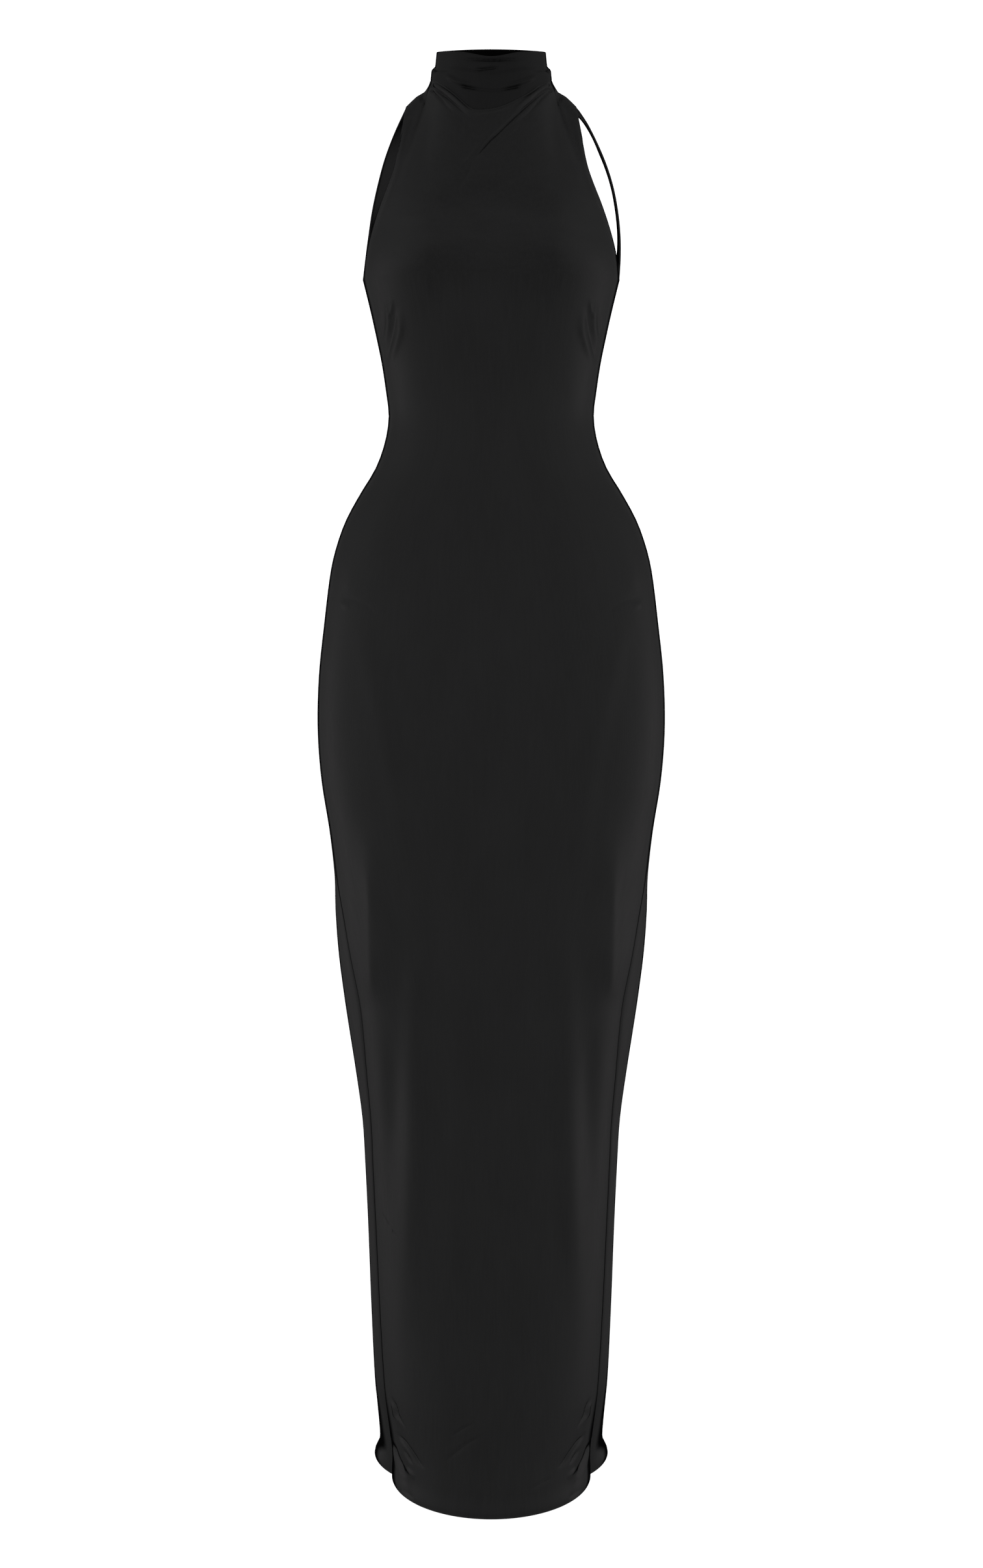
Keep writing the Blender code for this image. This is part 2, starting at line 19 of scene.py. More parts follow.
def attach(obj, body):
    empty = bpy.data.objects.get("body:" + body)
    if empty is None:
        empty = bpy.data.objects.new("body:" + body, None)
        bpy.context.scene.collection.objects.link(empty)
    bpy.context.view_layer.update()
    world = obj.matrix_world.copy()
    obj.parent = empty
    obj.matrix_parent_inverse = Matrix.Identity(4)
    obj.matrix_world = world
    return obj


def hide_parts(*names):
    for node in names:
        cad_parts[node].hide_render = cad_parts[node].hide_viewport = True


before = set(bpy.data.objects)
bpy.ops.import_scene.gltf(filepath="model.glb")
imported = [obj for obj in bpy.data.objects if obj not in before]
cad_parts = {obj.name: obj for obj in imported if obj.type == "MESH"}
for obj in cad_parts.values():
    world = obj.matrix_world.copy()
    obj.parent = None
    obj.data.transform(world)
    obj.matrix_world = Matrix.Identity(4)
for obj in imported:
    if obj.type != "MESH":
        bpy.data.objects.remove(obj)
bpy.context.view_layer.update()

MM = 0.001
print("solids:", sorted(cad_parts))

# %% [markdown]
# ## Reading a table on a smooth curve
#
# A dress form is described by a short table of sections, as a pattern cutter writes down girths
# at a few heights. Between the rows the shape has to run smoothly, or the shiny jersey shows a
# kink at each row. A cubic that takes its slope from the rows on both sides does that.

# %% Smooth tables
def smooth(share):
    """A share from 0 to 1 that starts and ends level."""
    share = np.clip(share, 0, 1)
    return share * share * (3 - 2 * share)


def read_table(table, places):
    """Columns of a table at many places between its rows."""
    rows = np.array(table, dtype=float)
    if rows[0, 0] > rows[-1, 0]:
        rows = rows[::-1]
    keys, values = rows[:, 0], rows[:, 1:]
    last = len(keys) - 1
    before = np.maximum(np.arange(last + 1) - 1, 0)
    after = np.minimum(np.arange(last + 1) + 1, last)
    slopes = (values[after] - values[before]) / (keys[after] - keys[before])[:, None]
    low = np.clip(np.searchsorted(keys, places, side="right") - 1, 0, last - 1)
    step = (keys[low + 1] - keys[low])[:, None]
    share = np.clip((places[:, None] - keys[low][:, None]) / step, 0, 1)
    leave = share * (1 - share) ** 2 * slopes[low] * step
    arrive = share * share * (share - 1) * slopes[low + 1] * step
    found = values[low] + (values[low + 1] - values[low]) * smooth(share) + leave + arrive
    return [found[:, column] for column in range(found.shape[1])]


def points_of(x, y, z):
    """Rows of points from three lists of numbers."""
    return np.stack(np.broadcast_arrays(x, y, z), axis=-1).astype(float)


# %% [markdown]
# ## The body of the dress
#
# The skirt and the bodice follow a standing figure: close at the waist, full at the hips and
# narrow again at the hem. Each section is half an ellipse in front and a rounder curve behind,
# which meet at the side seam. Below the hips the front's half ellipse stops short, before it
# turns to the side, so that a strip of the back panel shows on both sides of the skirt.

# %% Sections of the body, in millimetres
# height, half width, reach of the front, reach of the back, depth of the widest point,
# inset of the side seam, depth of the side seam
SECTIONS = [
    (-187, 130.5, 107, 92, 2, 0, 2),
    (-219, 122.7, 103, 87, 2, 0, 2),
    (-245, 117.0, 99, 82, 2, 0, 2),
    (-271, 111.7, 95, 78, 2, 0, 2),
    (-298, 107.7, 91, 75, 2, 0, 2),
    (-324, 104.9, 89, 74, 2, 0, 2),
    (-350, 108.8, 88, 77, 3, 0, 3),
    (-377, 118.6, 89, 84, 3, 0, 3),
    (-403, 134.5, 92, 93, 4, 0, 4),
    (-430, 149.3, 96, 103, 4, 0, 4),
    (-457, 159.3, 100, 112, 5, 0, 5),
    (-483, 165.5, 103, 118, 5, 0, 5),
    (-537, 172.6, 107, 124, 6, 0, 6),
    (-590, 178.4, 109, 126, 6, 0, 6),
    (-645, 180.1, 110, 124, 6, 0, 6),
    (-699, 176.5, 110, 119, 6, 0, 6),
    (-753, 168.4, 110, 113, 6, 0.5, 6),
    (-800, 163.5, 110, 109, 5, 2.6, 5),
    (-836, 162.7, 110, 107, 3, 9.0, 0),
    (-880, 159.7, 110, 105, 2, 14.2, -6),
    (-925, 154.3, 110, 104, 2, 17.8, -11),
    (-955, 149.9, 111, 103, 0, 16.8, -10),
    (-1002, 142.5, 111, 102, -5, 12.8, -5),
    (-1055, 135.3, 112, 101, -9, 9.8, -1),
    (-1100, 132.7, 113, 101, -10, 8.8, 2),
    (-1170, 129.9, 114, 102, -8, 8.8, 5),
    (-1260, 127.2, 115, 105, -4, 9.8, 6),
    (-1342, 124.2, 117, 109, 6, 11.2, 7),
    (-1395, 121.2, 118, 116, 32, 13.4, 7),
    (-1426, 121.2, 119, 127, 62, 15.6, 7),
    (-1434, 122.8, 119, 131, 67, 16.8, 8),
    (-1441, 126.0, 120, 135, 73, 19.6, 8),
    (-1451, 128.0, 120, 140, 80, 21.4, 9),
]
# height, degrees from the middle of the front to the side seam
SWING = [
    (-187, 90), (-640, 90), (-699, 90), (-753, 86.4), (-800, 82), (-836, 77.5), (-870, 74),
    (-1342, 74), (-1375, 76.5), (-1400, 80.5), (-1426, 85.5), (-1441, 88.5), (-1451, 90),
]
SWUNG = 12 * MM  # how far forward the seam lies once the strip beside it has its own curve
RUN_ON = 0.1  # most radians that the back's own curve runs on in front of its widest point
LEAST_SINE = 1e-6  # keeps a division by the sine of no turn finite
UNDERARM_Z = -187 * MM
HEM_Z = -1451 * MM


def front_of_body(across, z):
    """Points on the front of the body; across runs from -1 to 1 between the side seams."""
    half, front, _back, _side_y, seam_in, seam_y = [v * MM for v in read_table(SECTIONS, z / MM)]
    swing = np.radians(np.minimum(read_table(SWING, z / MM)[0], 90))
    angle = across * swing
    x = (half - seam_in) * np.sin(angle) / np.sin(swing)
    return points_of(x, seam_y - (seam_y + front) * np.cos(angle), z)


def back_of_body(across, z):
    """Points on the back of the body; across runs from -1 on +X to 1 on -X."""
    half, _front, back, side_y, seam_in, _seam_y = [v * MM for v in read_table(SECTIONS, z / MM)]
    seam_y = front_of_body(np.ones(z.shape), z)[:, 1]
    seam_turn = np.arccos(np.clip((half - seam_in) / half, -1, 1))
    round_turn = np.clip((side_y - seam_y) / (back - side_y), 0, RUN_ON)
    seam_turn = round_turn + (seam_turn - round_turn) * np.clip((side_y - seam_y) / SWUNG, 0, 1)
    turn = np.pi / 2 - np.abs(across) * (np.pi / 2 + seam_turn)
    x = half * np.cos(turn) * np.where(across > 0, -1, 1)
    behind = side_y + (back - side_y) * np.sin(turn)
    shown = np.sin(turn) / np.maximum(np.sin(seam_turn), LEAST_SINE)
    return points_of(x, np.where(turn >= 0, behind, side_y + (side_y - seam_y) * shown), z)


for height in (-187, -324, -645, -1055):
    ring = front_of_body(np.linspace(-1, 1, 61), np.full(61, height * MM))
    girth = norm(np.diff(ring, axis=0), axis=1).sum()
    print(f"front of the body {-height} mm below the shoulders: {girth * 1000:.0f} mm wide")

# %% [markdown]
# ## The neck and the shoulders
#
# The collar is a soft ring that stands up, slouches a little and steps out under a crease.
# The neck seam is a shallow, slightly crooked U in front and rises to both shoulders.

# %% Collar and neck seam
RIM_HALF_WIDTH = 55 * MM
RIM_DEPTH = 55 * MM
RIM_SLOPE = 0.095
CREASE_BELOW_RIM = 15.5 * MM
CREASE_LENGTH = 1.9 * MM
CREASE_STEP_SIDE = 3.5 * MM
CREASE_STEP_FRONT = 1.4 * MM
CREASE_NIP = 0.8 * MM
RIM_Z = 40.6 * MM
RIM_TILT = 7 * MM
RIM_SAG = 1 * MM
RIM_DIP = 5.6 * MM
RIM_DIP_ANGLE = 0.42
NECK_SEAM = [  # degrees from the centre front, less than 0 on -X; height
    (-180, 14.5), (-130, 13.5), (-90, 11.5), (-67, 7.6), (-51, 1.4), (-41, -4.4), (-33, -10.2),
    (-26, -16.5), (-19, -22.4), (-13, -24.4), (-5, -24.2), (2, -23.2), (9, -21.2), (16, -18.2),
    (24, -13.8), (32, -9.6), (41, -4.6), (51, 1.4), (67, 7.6), (90, 11.5), (130, 13.5), (180, 14.5),
]


def rim_height(angle):
    """Height of the collar's rim; the angle is 0 at the centre front and pi at the back."""
    level = RIM_Z - RIM_TILT * np.cos(angle) + RIM_SAG * np.cos(2 * angle)
    return level - RIM_DIP * np.exp(-((angle / RIM_DIP_ANGLE) ** 2))


def collar_at(angle, z):
    """Points of the collar's outer face at an angle round the neck and a height."""
    below = rim_height(angle) - z
    step = 0.5 + 0.5 * np.tanh((below - CREASE_BELOW_RIM) / CREASE_LENGTH)
    nip = CREASE_NIP * np.exp(-(((below - CREASE_BELOW_RIM) / CREASE_LENGTH) ** 2))
    grown = RIM_SLOPE * below - nip
    x_reach = RIM_HALF_WIDTH + grown + CREASE_STEP_SIDE * step
    y_reach = RIM_DEPTH + grown + CREASE_STEP_FRONT * step
    return points_of(x_reach * np.sin(angle), -y_reach * np.cos(angle), z)


def neck_seam(angle):
    """Points of the neck seam at an angle round the neck."""
    (height,) = read_table(NECK_SEAM, np.degrees(angle))
    return collar_at(angle, height * MM)


# %% Shoulder seam and armhole, in millimetres
SHOULDER = [  # share of the seam from the neck to the tip, x, y, z
    (0, 61.2, 0, 11.5), (0.25, 63.6, 2.4, 5.6), (0.5, 67.9, 4, 0), (0.6, 71.6, 4.8, -2.1),
    (0.75, 76.8, 5.6, -5), (1, 86.3, 7, -14),
]
ARMHOLE = [  # share of the edge from the shoulder tip to the underarm, x, y, z
    (0, 86.3, 7, -14), (0.03, 86.5, 2, -14.8), (0.07, 87, -4, -18), (0.14, 88.2, -13, -29),
    (0.27, 92.4, -25, -53), (0.4, 97.2, -34, -79), (0.5, 103, -36, -98), (0.6, 110.4, -33, -117),
    (0.74, 119.6, -24, -143), (0.85, 125.4, -14, -162), (1, 130.5, 2, -187),
]
NECK_SHARE = 0.5  # share of the front panel's top edge that is sewn to the collar


def shoulder_seam(along):
    """Points of the right shoulder seam."""
    return points_of(*read_table(SHOULDER, along)) * MM


def front_top_edge(across):
    """Top edge of the front panel: neck seam in the middle, a shoulder seam at each end."""
    at_neck = neck_seam(across / NECK_SHARE * np.pi / 2)
    at_shoulder = shoulder_seam((np.abs(across) - NECK_SHARE) / (1 - NECK_SHARE))
    at_shoulder[:, 0] *= np.sign(across)
    return np.where((np.abs(across) <= NECK_SHARE)[:, None], at_neck, at_shoulder)


# %% [markdown]
# ## The front panel's own form
#
# Above the underarm the cloth hangs from the neck and shoulder seams, bends into the armholes
# and is filled out by the bust. Runs that leave the top edge straight and arrive in line with
# the body leave no ridge between bodice and skirt. Beside the neck the stretched jersey bridges
# the hollow above the collar bone, so the top edge is evened out there.

# %% Form of the front panel
ARMHOLE_POWER = 2.5  # how late towards the side the panel bends into the armhole
HOLLOW_SPREAD = 0.2  # share of the panel over which it bridges the hollow beside the neck
HOLLOW_WIDTH = 0.2
HOLLOW_FULL = 0.25  # share of the run to the underarm from which it bridges it fully
BUST_RISE = 17 * MM
BUST_X = 62 * MM
BUST_Z_CENTRE = -112 * MM
BUST_Z_SIDE = -136 * MM
BUST_REACH_UP = 62 * MM
BUST_REACH_DOWN = 50 * MM
BUST_REACH_SIDE = 44 * MM
BUST_EDGE_POWER = 6


def hanging_run(across, share):
    """Cloth from the top edge down to the underarm, where it joins the body smoothly."""
    beside_neck = np.exp(-(((np.abs(across) - NECK_SHARE) / HOLLOW_WIDTH) ** 2))
    spread = HOLLOW_SPREAD * beside_neck * np.sqrt(np.minimum(share / HOLLOW_FULL, 1))
    tops = [front_top_edge(np.clip(across + k * spread, -1, 1)) for k in (-1, -0.5, 0, 0.5, 1)]
    top = sum(tops) / len(tops)
    foot = front_of_body(across, np.full(across.shape, UNDERARM_Z))
    under = front_of_body(across, np.full(across.shape, UNDERARM_Z - MM))
    chord = foot - top
    arrival = (foot - under) / MM * chord[:, 2:]
    s = share[:, None]
    blend = top * (2 * s**3 - 3 * s**2 + 1) + foot * (3 * s**2 - 2 * s**3)
    return blend + chord * (s**3 - 2 * s**2 + s) + arrival * (s**3 - s**2)


def bust_rise(across, points):
    """How far the bust fills out the front panel."""
    side_x = np.abs(points[:, 0])
    from_middle = np.minimum(side_x / BUST_X, 1)
    up = points[:, 2] - (BUST_Z_CENTRE + (BUST_Z_SIDE - BUST_Z_CENTRE) * from_middle**2)
    level = up / np.where(up > 0, BUST_REACH_UP, BUST_REACH_DOWN)
    side = np.maximum(side_x - BUST_X, 0) / BUST_REACH_SIDE
    edge = 1 - np.abs(across) ** BUST_EDGE_POWER
    return BUST_RISE * edge * np.exp(-(level**2) - side**2)


def front_surface(across, down):
    """The front panel: down is 0 at the top edge, 1 at the underarm and 2 at the hem."""
    share = np.clip(down, 0, 1)
    chest = hanging_run(across, share)
    edge = points_of(*read_table(ARMHOLE, share)) * MM
    bend = edge - hanging_run(np.ones(across.shape), share)
    bend[:, 0] *= np.sign(across)
    chest = chest + bend * (np.abs(across) ** ARMHOLE_POWER)[:, None]
    z = UNDERARM_Z + (HEM_Z - UNDERARM_Z) * np.maximum(down - 1, 0)
    points = np.where((down < 1)[:, None], chest, front_of_body(across, z))
    points[:, 1] -= bust_rise(across, points)
    return points


# %% [markdown]
# ## The open back
#
# The back panel starts low, in a deep curve between the two underarms, where the shoulder bands
# are sewn on. The drop fades out over the rows below, which are level again under the waist.

# %% Form of the back panel
SCOOP_DEPTH = 105 * MM
SCOOP_POWER = 1.3
BAND_FOOT_SHARE = 24.0 / (math.pi / 2 * (130.5 + 92) / 2)  # 24 mm of the back's quarter girth
LEVEL_BELOW = -430 * MM


def back_surface(across, down):
    """The back panel: down is 1 at its top edge and 2 at the hem."""
    level = UNDERARM_Z + (HEM_Z - UNDERARM_Z) * (down - 1)
    inward = np.maximum(1 - BAND_FOOT_SHARE - np.abs(across), 0) / (1 - BAND_FOOT_SHARE)
    drop = SCOOP_DEPTH * np.sin(inward * np.pi / 2) ** SCOOP_POWER
    fade = np.clip((level - LEVEL_BELOW) / (UNDERARM_Z - LEVEL_BELOW), 0, 1)
    return back_of_body(across, level - drop * fade)


# %% [markdown]
# ## The shoulder bands
#
# A narrow band runs from each shoulder seam down behind the armhole to the back panel. They do
# not lie alike: the left one hugs the armhole, the right one swings out and leaves a slim gap.

# %% Form of the shoulder bands, in millimetres
# share of the band from the shoulder seam to the back panel, edge beside the armhole (x, y, z),
# edge beside the open back (x, y, z)
LEFT_BAND = [
    (0, 86.3, 7, -14, 61.2, 0, 11.5),
    (0.03, 86.9, 12, -14.8, 61.8, 8, 10),
    (0.07, 88.8, 17, -18, 63.8, 13, 5),
    (0.18, 98.6, 30, -37, 77, 25, -24),
    (0.32, 109, 39, -63, 88, 34, -56),
    (0.46, 116.4, 42, -89, 96, 38, -86),
    (0.6, 122.2, 40, -115, 104, 40, -114),
    (0.74, 126.2, 32, -141, 113, 40, -142),
    (0.88, 128.8, 17, -165, 121, 35, -166),
    (1, 130.5, 2, -187, 125.9, 24.5, -187),
]
RIGHT_BAND = [
    (0, 86.3, 7, -14, 61.2, 0, 11.5),
    (0.03, 87, 11, -14.8, 62.6, 8, 9),
    (0.07, 90.5, 14, -18.5, 70, 18, -1),
    (0.16, 100.2, 18, -33, 96, 36, -28),
    (0.32, 114.9, 22, -63, 113.2, 43, -61),
    (0.46, 124, 23, -89, 123, 44, -88),
    (0.6, 129.4, 22, -115, 128.4, 43, -115),
    (0.74, 132, 17, -141, 130.6, 39, -141),
    (0.88, 132, 9, -165, 129.4, 32, -165),
    (1, 130.5, 2, -187, 125.9, 24.5, -187),
]
BOW_REACH = 0.22


def band_surface(table, side):
    """The form of one band; side is 1 on +X and -1 on -X."""

    def surface(across, down):
        along = (1 - across * side) / 2
        columns = read_table(table, down)
        arm, back = points_of(*columns[:3]) * MM, points_of(*columns[3:]) * MM
        ends = shoulder_seam(np.array([0.0, 1.0]))
        straight = ends[0] + (ends[1] - ends[0]) * along[:, None]
        bow = shoulder_seam(along) - straight
        fade = np.maximum(1 - down / BOW_REACH, 0)[:, None] ** 2
        points = back + (arm - back) * along[:, None] + bow * fade
        points[:, 0] *= side
        return points

    return surface


def collar_surface(across, down):
    """The collar's outer face: down is 0 at the rim and 1 at the neck seam."""
    angle = across * np.pi
    rim, foot = rim_height(angle), neck_seam(angle)[:, 2]
    return collar_at(angle, rim + (foot - rim) * down)


# %% [markdown]
# ## Creases
#
# Slinky jersey is heavy and smooth, so it creases in troughs and rounded ridges, long where the
# cloth is pulled and short where it slouches. Each is drawn here as a line on the front view or
# on the back view. A simulation would put them elsewhere each time.

# %% What a crease is
# line        places (x, z) that the crease runs through, in millimetres
# width       reach to each side
# depth       negative for a trough, positive for a ridge
# start, end  share of the line over which it fades in and out
# lip         height of the rounded lip beside it, on the left of the line's direction
Crease = namedtuple("Crease", "line width depth start end lip", defaults=(0.0,))


def draw(*rows):
    """Creases from the rows of a table."""
    return [Crease(*row) for row in rows]


def on_both_sides(*rows):
    """Creases from the rows of a table, and their mirror images."""
    drawn = draw(*rows)
    return drawn + [c._replace(line=[(-x, z) for x, z in c.line], lip=-c.lip) for c in drawn]


# %% [markdown]
# ### Creases of the collar
#
# The collar slouches: a short dark fold under the rim, a nip at each side where it steps out, and
# a long hanging fold above the neck seam, sharp towards both ends. A ridge runs from each side
# down into that fold.

# %% Draw the collar's creases
COLLAR_CREASES = draw(
    ([(-39, 29.2), (-19, 26), (0, 25.2), (20, 26), (40, 29.2)], 1.5, -2.6, 0.45, 0.45),
    ([(-20, 16), (-9, 16.3), (-2.5, 16.9), (13, 18.2)], 1.3, -2.4, 0.4, 0.4),
    ([(-58, 19.6), (-52.4, 18.9), (-45.5, 17.6), (-33.5, 18.2)], 2.2, -2.2, 0.02, 0.7),
    ([(58, 19.4), (54, 19), (44.1, 17.6), (34.5, 19.8)], 2.2, -2.2, 0.02, 0.7),
    ([(-32, 0.8), (-25, -0.8), (-19, -2.2), (-2.5, -4.6), (8, -4.4), (17, -2.6), (30.5, 0.4)], 1.4, -1,
        0.1, 0.1),
    ([(-32, 0.8), (-25, -0.8), (-19, -2.2), (-8, -4)], 1.2, -1.4, 0.25, 0.5),
    ([(7, -4.5), (17, -2.6), (23, -1.2), (30.5, 0.4)], 1.2, -1.3, 0.5, 0.25),
    ([(-48, 13.2), (-39.5, 8.3), (-32, 4), (-22.5, 1.8), (-14, -0.2)], 2, 2.1, 0.25, 0.5),
    ([(48, 12.4), (36.4, 6.7), (27.8, 3.3), (19.3, 0.5), (9.3, -1)], 2, 2.1, 0.3, 0.5),
    ([(-50, 6), (-42, 0.5), (-36, -4), (-30, -9), (-25, -14)], 2.4, -0.9, 0.4, 0.4),
    ([(50, 6), (42, 0.5), (36, -4), (30, -9)], 2.4, -0.9, 0.4, 0.4),
)

# %% [markdown]
# ### Creases of the front panel
#
# The seam allowance lifts the panel's neck edge to a bright ridge. Pull folds run down from both
# ends of the neck seam, and one crosses the chest. Small tucks start at the shoulder seams and
# under the bust, soft ones cross the hips, and the hem slouches at both corners. The bends over
# thighs and knees are wide, soft ridges.

# %% Draw the front panel's creases
NECK_EDGE_RIDGES = draw(
    ([(-58.5, 7), (-49.5, -0.9), (-43, -5.6), (-35, -12.8), (-27, -20.8), (-20.6, -26)], 1.9, 1.9, 0.1,
        0.15),
    ([(-52, 1.5), (-46, -3.6), (-38, -10)], 3, 1.2, 0.4, 0.5),
    ([(58.5, 6), (49.4, -1.4), (42, -7), (34, -13.8), (23, -24.4)], 1.9, 1.9, 0.1, 0.2),
    ([(50, -0.8), (42, -7.6), (33, -15.6)], 3, 1.1, 0.4, 0.5),
    ([(-21, -26.2), (-14, -27.2), (0, -25.8), (9, -23.6), (16, -20.7), (24, -16)], 1.1, 0.35, 0.2, 0.4),
    ([(-44, -8.6), (-39.5, -12.4), (-34, -17.2), (-28, -22.4)], 1.1, 0.8, 0.3, 0.5),
    ([(43.5, -9.6), (38.4, -14), (30, -21), (25, -25)], 1.1, 0.8, 0.3, 0.5),
)
PULL_FOLDS = draw(
    ([(-60.5, 4.4), (-55.8, -0.1), (-48.3, -6.8), (-44.1, -9.9), (-34.2, -19.1), (-21.2, -31.5)], 1.1,
        -1.4, 0.03, 0.45),
    ([(-36, -17.4), (-29.2, -24.1), (-20, -32.7)], 1.6, -0.3, 0.4, 0.4),
    ([(-61, 0.4), (-55.6, -5.9), (-50.9, -10.8), (-45.5, -17.1), (-39.9, -23), (-34, -28.8)], 1.2, -1.8,
        0.04, 0.75),
    ([(-58.5, -0.6), (-53, -6.6), (-47, -12.4), (-38, -21.5)], 1.4, 0.9, 0.2, 0.5),
    ([(62, 2.6), (52.5, -3.8), (44.1, -10.8), (33.4, -20.8), (20.7, -32.7), (7, -46.2),
        (-2, -54.3), (-17.9, -74.5)], 1.3, -1.5, 0.04, 0.15),
    ([(26, -27.6), (7, -46.2), (-2, -54.3), (-12, -66), (-20, -77)], 1.5, -0.9, 0.5, 0.35),
    ([(10, -49), (-1, -59.5), (-11, -71)], 2, 0.9, 0.4, 0.4),
    ([(38, -20.5), (24, -34), (12, -46)], 2, 0.9, 0.4, 0.4),
    ([(-12, -60), (-21, -72), (-31, -85)], 1.8, 0.9, 0.4, 0.4),
    ([(-15, -72), (-23, -83), (-29, -95), (-34.5, -112)], 2.8, -2.4, 0.4, 0.6),
    ([(62.6, 0.9), (53.5, -7.6), (43.1, -19.1), (34.4, -29.1), (26.3, -37.4)], 1.2, -1.7, 0.04, 0.75),
    ([(31, -33.4), (23, -41.6), (10, -57), (2, -68)], 2.4, 0.8, 0.3, 0.5),
)
SHOULDER_TUCKS = on_both_sides(
    ([(-71.5, -4), (-69.6, -11), (-68, -17.5)], 1.8, -2, 0.1, 0.6),
    ([(-79, -14), (-80, -20), (-79.6, -30)], 5, -1.9, 0.3, 0.5),
    ([(-84.2, -17), (-86, -23), (-87.4, -30)], 2.2, 0.7, 0.3, 0.5),
)
ARMHOLE_EDGES = on_both_sides(
    ([(-84.5, -31), (-86.9, -47), (-90.6, -67), (-95.2, -87), (-102, -108), (-110.6, -132),
        (-117.5, -156)], 2.2, 0.7, 0.15, 0.3),
)
BUST_FOLDS = on_both_sides(
    ([(-104.7, -207), (-104, -216), (-102.8, -226), (-103.3, -236), (-105.3, -245),
        (-107.4, -269)], 2.4, 1.3, 0.25, 0.6),
    ([(-98.4, -206), (-99.4, -217), (-101.6, -227)], 2, 0.9, 0.4, 0.3),
    ([(-94.3, -213), (-96.3, -229), (-99, -242.3), (-102.2, -256), (-105.5, -275)], 2.8, -1.1, 0.3, 0.3),
    ([(-92, -216), (-90.8, -226), (-90.5, -238), (-93.5, -249), (-98.8, -263), (-104.6, -280)], 3.4, 1.5,
        0.3, 0.4),
    ([(-108.3, -217), (-107.6, -231), (-108.6, -243), (-110, -253)], 1.6, -0.6, 0.3, 0.5),
    ([(-111.4, -219), (-111.5, -233), (-111, -247)], 1.8, 0.6, 0.4, 0.4),
)
HIP_CREASES = on_both_sides(
    ([(-153.5, -511), (-149.8, -508.4), (-145.5, -507.4), (-139.1, -507.9), (-133.8, -509.5),
        (-126.4, -512.7), (-116, -521), (-98, -524)], 2.9, -0.45, 0.2, 0.6),
    ([(-153, -516), (-148.6, -514), (-142, -514)], 3, 0.6, 0.4, 0.5),
    ([(-146, -455), (-144, -480), (-145, -504)], 7, 0.6, 0.4, 0.3),
    ([(-143, -514), (-135, -532), (-125, -560), (-116, -600), (-107, -640), (-98, -690),
        (-90, -740), (-86, -800)], 11, 2, 0.25, 0.3),
)
LEG_FORMS = on_both_sides(
    ([(-119, -715), (-121, -760), (-120.5, -792), (-118.5, -826), (-118, -870), (-119, -930)], 15, 3.4,
        0.35, 0.3),
    ([(-124, -765), (-122.6, -800), (-122, -860), (-122, -920)], 4.5, 0.9, 0.35, 0.2),
    ([(-77, -850), (-77, -921), (-77.5, -955), (-78, -1022), (-80, -1091), (-84, -1162),
        (-88, -1232), (-92, -1300)], 11.5, 2.9, 0.1, 0.5),
    ([(-100, -900), (-101, -958), (-101.5, -1027), (-104, -1098), (-107, -1190)], 10, -2.2, 0.4, 0.55),
    ([(-30, -830), (-32, -980), (-31, -1120), (-28, -1300)], 13, 1.3, 0.3, 0.3),
)
HEM_CREASES = on_both_sides(
    ([(-104.6, -1343), (-101.5, -1349), (-99.3, -1354.6), (-97.5, -1360.9), (-91.5, -1368.8),
        (-87.5, -1373)], 1.4, -1.5, 0.3, 0.5),
    ([(-105.7, -1348), (-103.1, -1355.4), (-101.6, -1364), (-98.5, -1368), (-95, -1374.5)], 1.5, 0.8, 0.3,
        0.5),
    ([(-100.5, -1381.5), (-95.1, -1385.4), (-90.4, -1388.6), (-82, -1396.5), (-77.8, -1401.2),
        (-73.5, -1404.8), (-68, -1410)], 2.2, -2.6, 0.3, 0.4),
    ([(-93.5, -1395.5), (-87.3, -1402.8), (-81, -1410)], 1.8, -1.6, 0.4, 0.5),
    ([(-105, -1400), (-101.8, -1413), (-97.7, -1420), (-92, -1431)], 3.4, -3.4, 0.3, 0.4),
    ([(-97, -1402), (-92, -1425), (-88, -1449)], 6, -1.8, 0.5, 0.02),
    ([(-92, -1420), (-86, -1419.5), (-79, -1424)], 2.6, 1.2, 0.4, 0.4),
) + draw(
    ([(-42, -1367), (-29, -1356.5), (-15, -1348)], 1.4, -0.7, 0.5, 0.6, 0.2),
    ([(-50.7, -1397.6), (-27, -1374), (-4.3, -1359)], 1.8, -0.8, 0.5, 0.6, 0.2),
    ([(40, -1424), (52.8, -1418), (65.8, -1415.5)], 1.6, -0.7, 0.5, 0.5, 0.2),
    ([(-116, -1143), (-104, -1160), (-90, -1170.5)], 1.3, -0.5, 0.4, 0.6, 0.1),
)
FRONT_CREASES = (
    NECK_EDGE_RIDGES + PULL_FOLDS + SHOULDER_TUCKS + ARMHOLE_EDGES + BUST_FOLDS + HIP_CREASES
    + LEG_FORMS + HEM_CREASES
)

# %% [markdown]
# ### Creases of the back panel
#
# The back hangs from two bands only and creases softly: the cloth gathers a little in the hollow
# above the seat, pulls across under it and slouches at the hem.

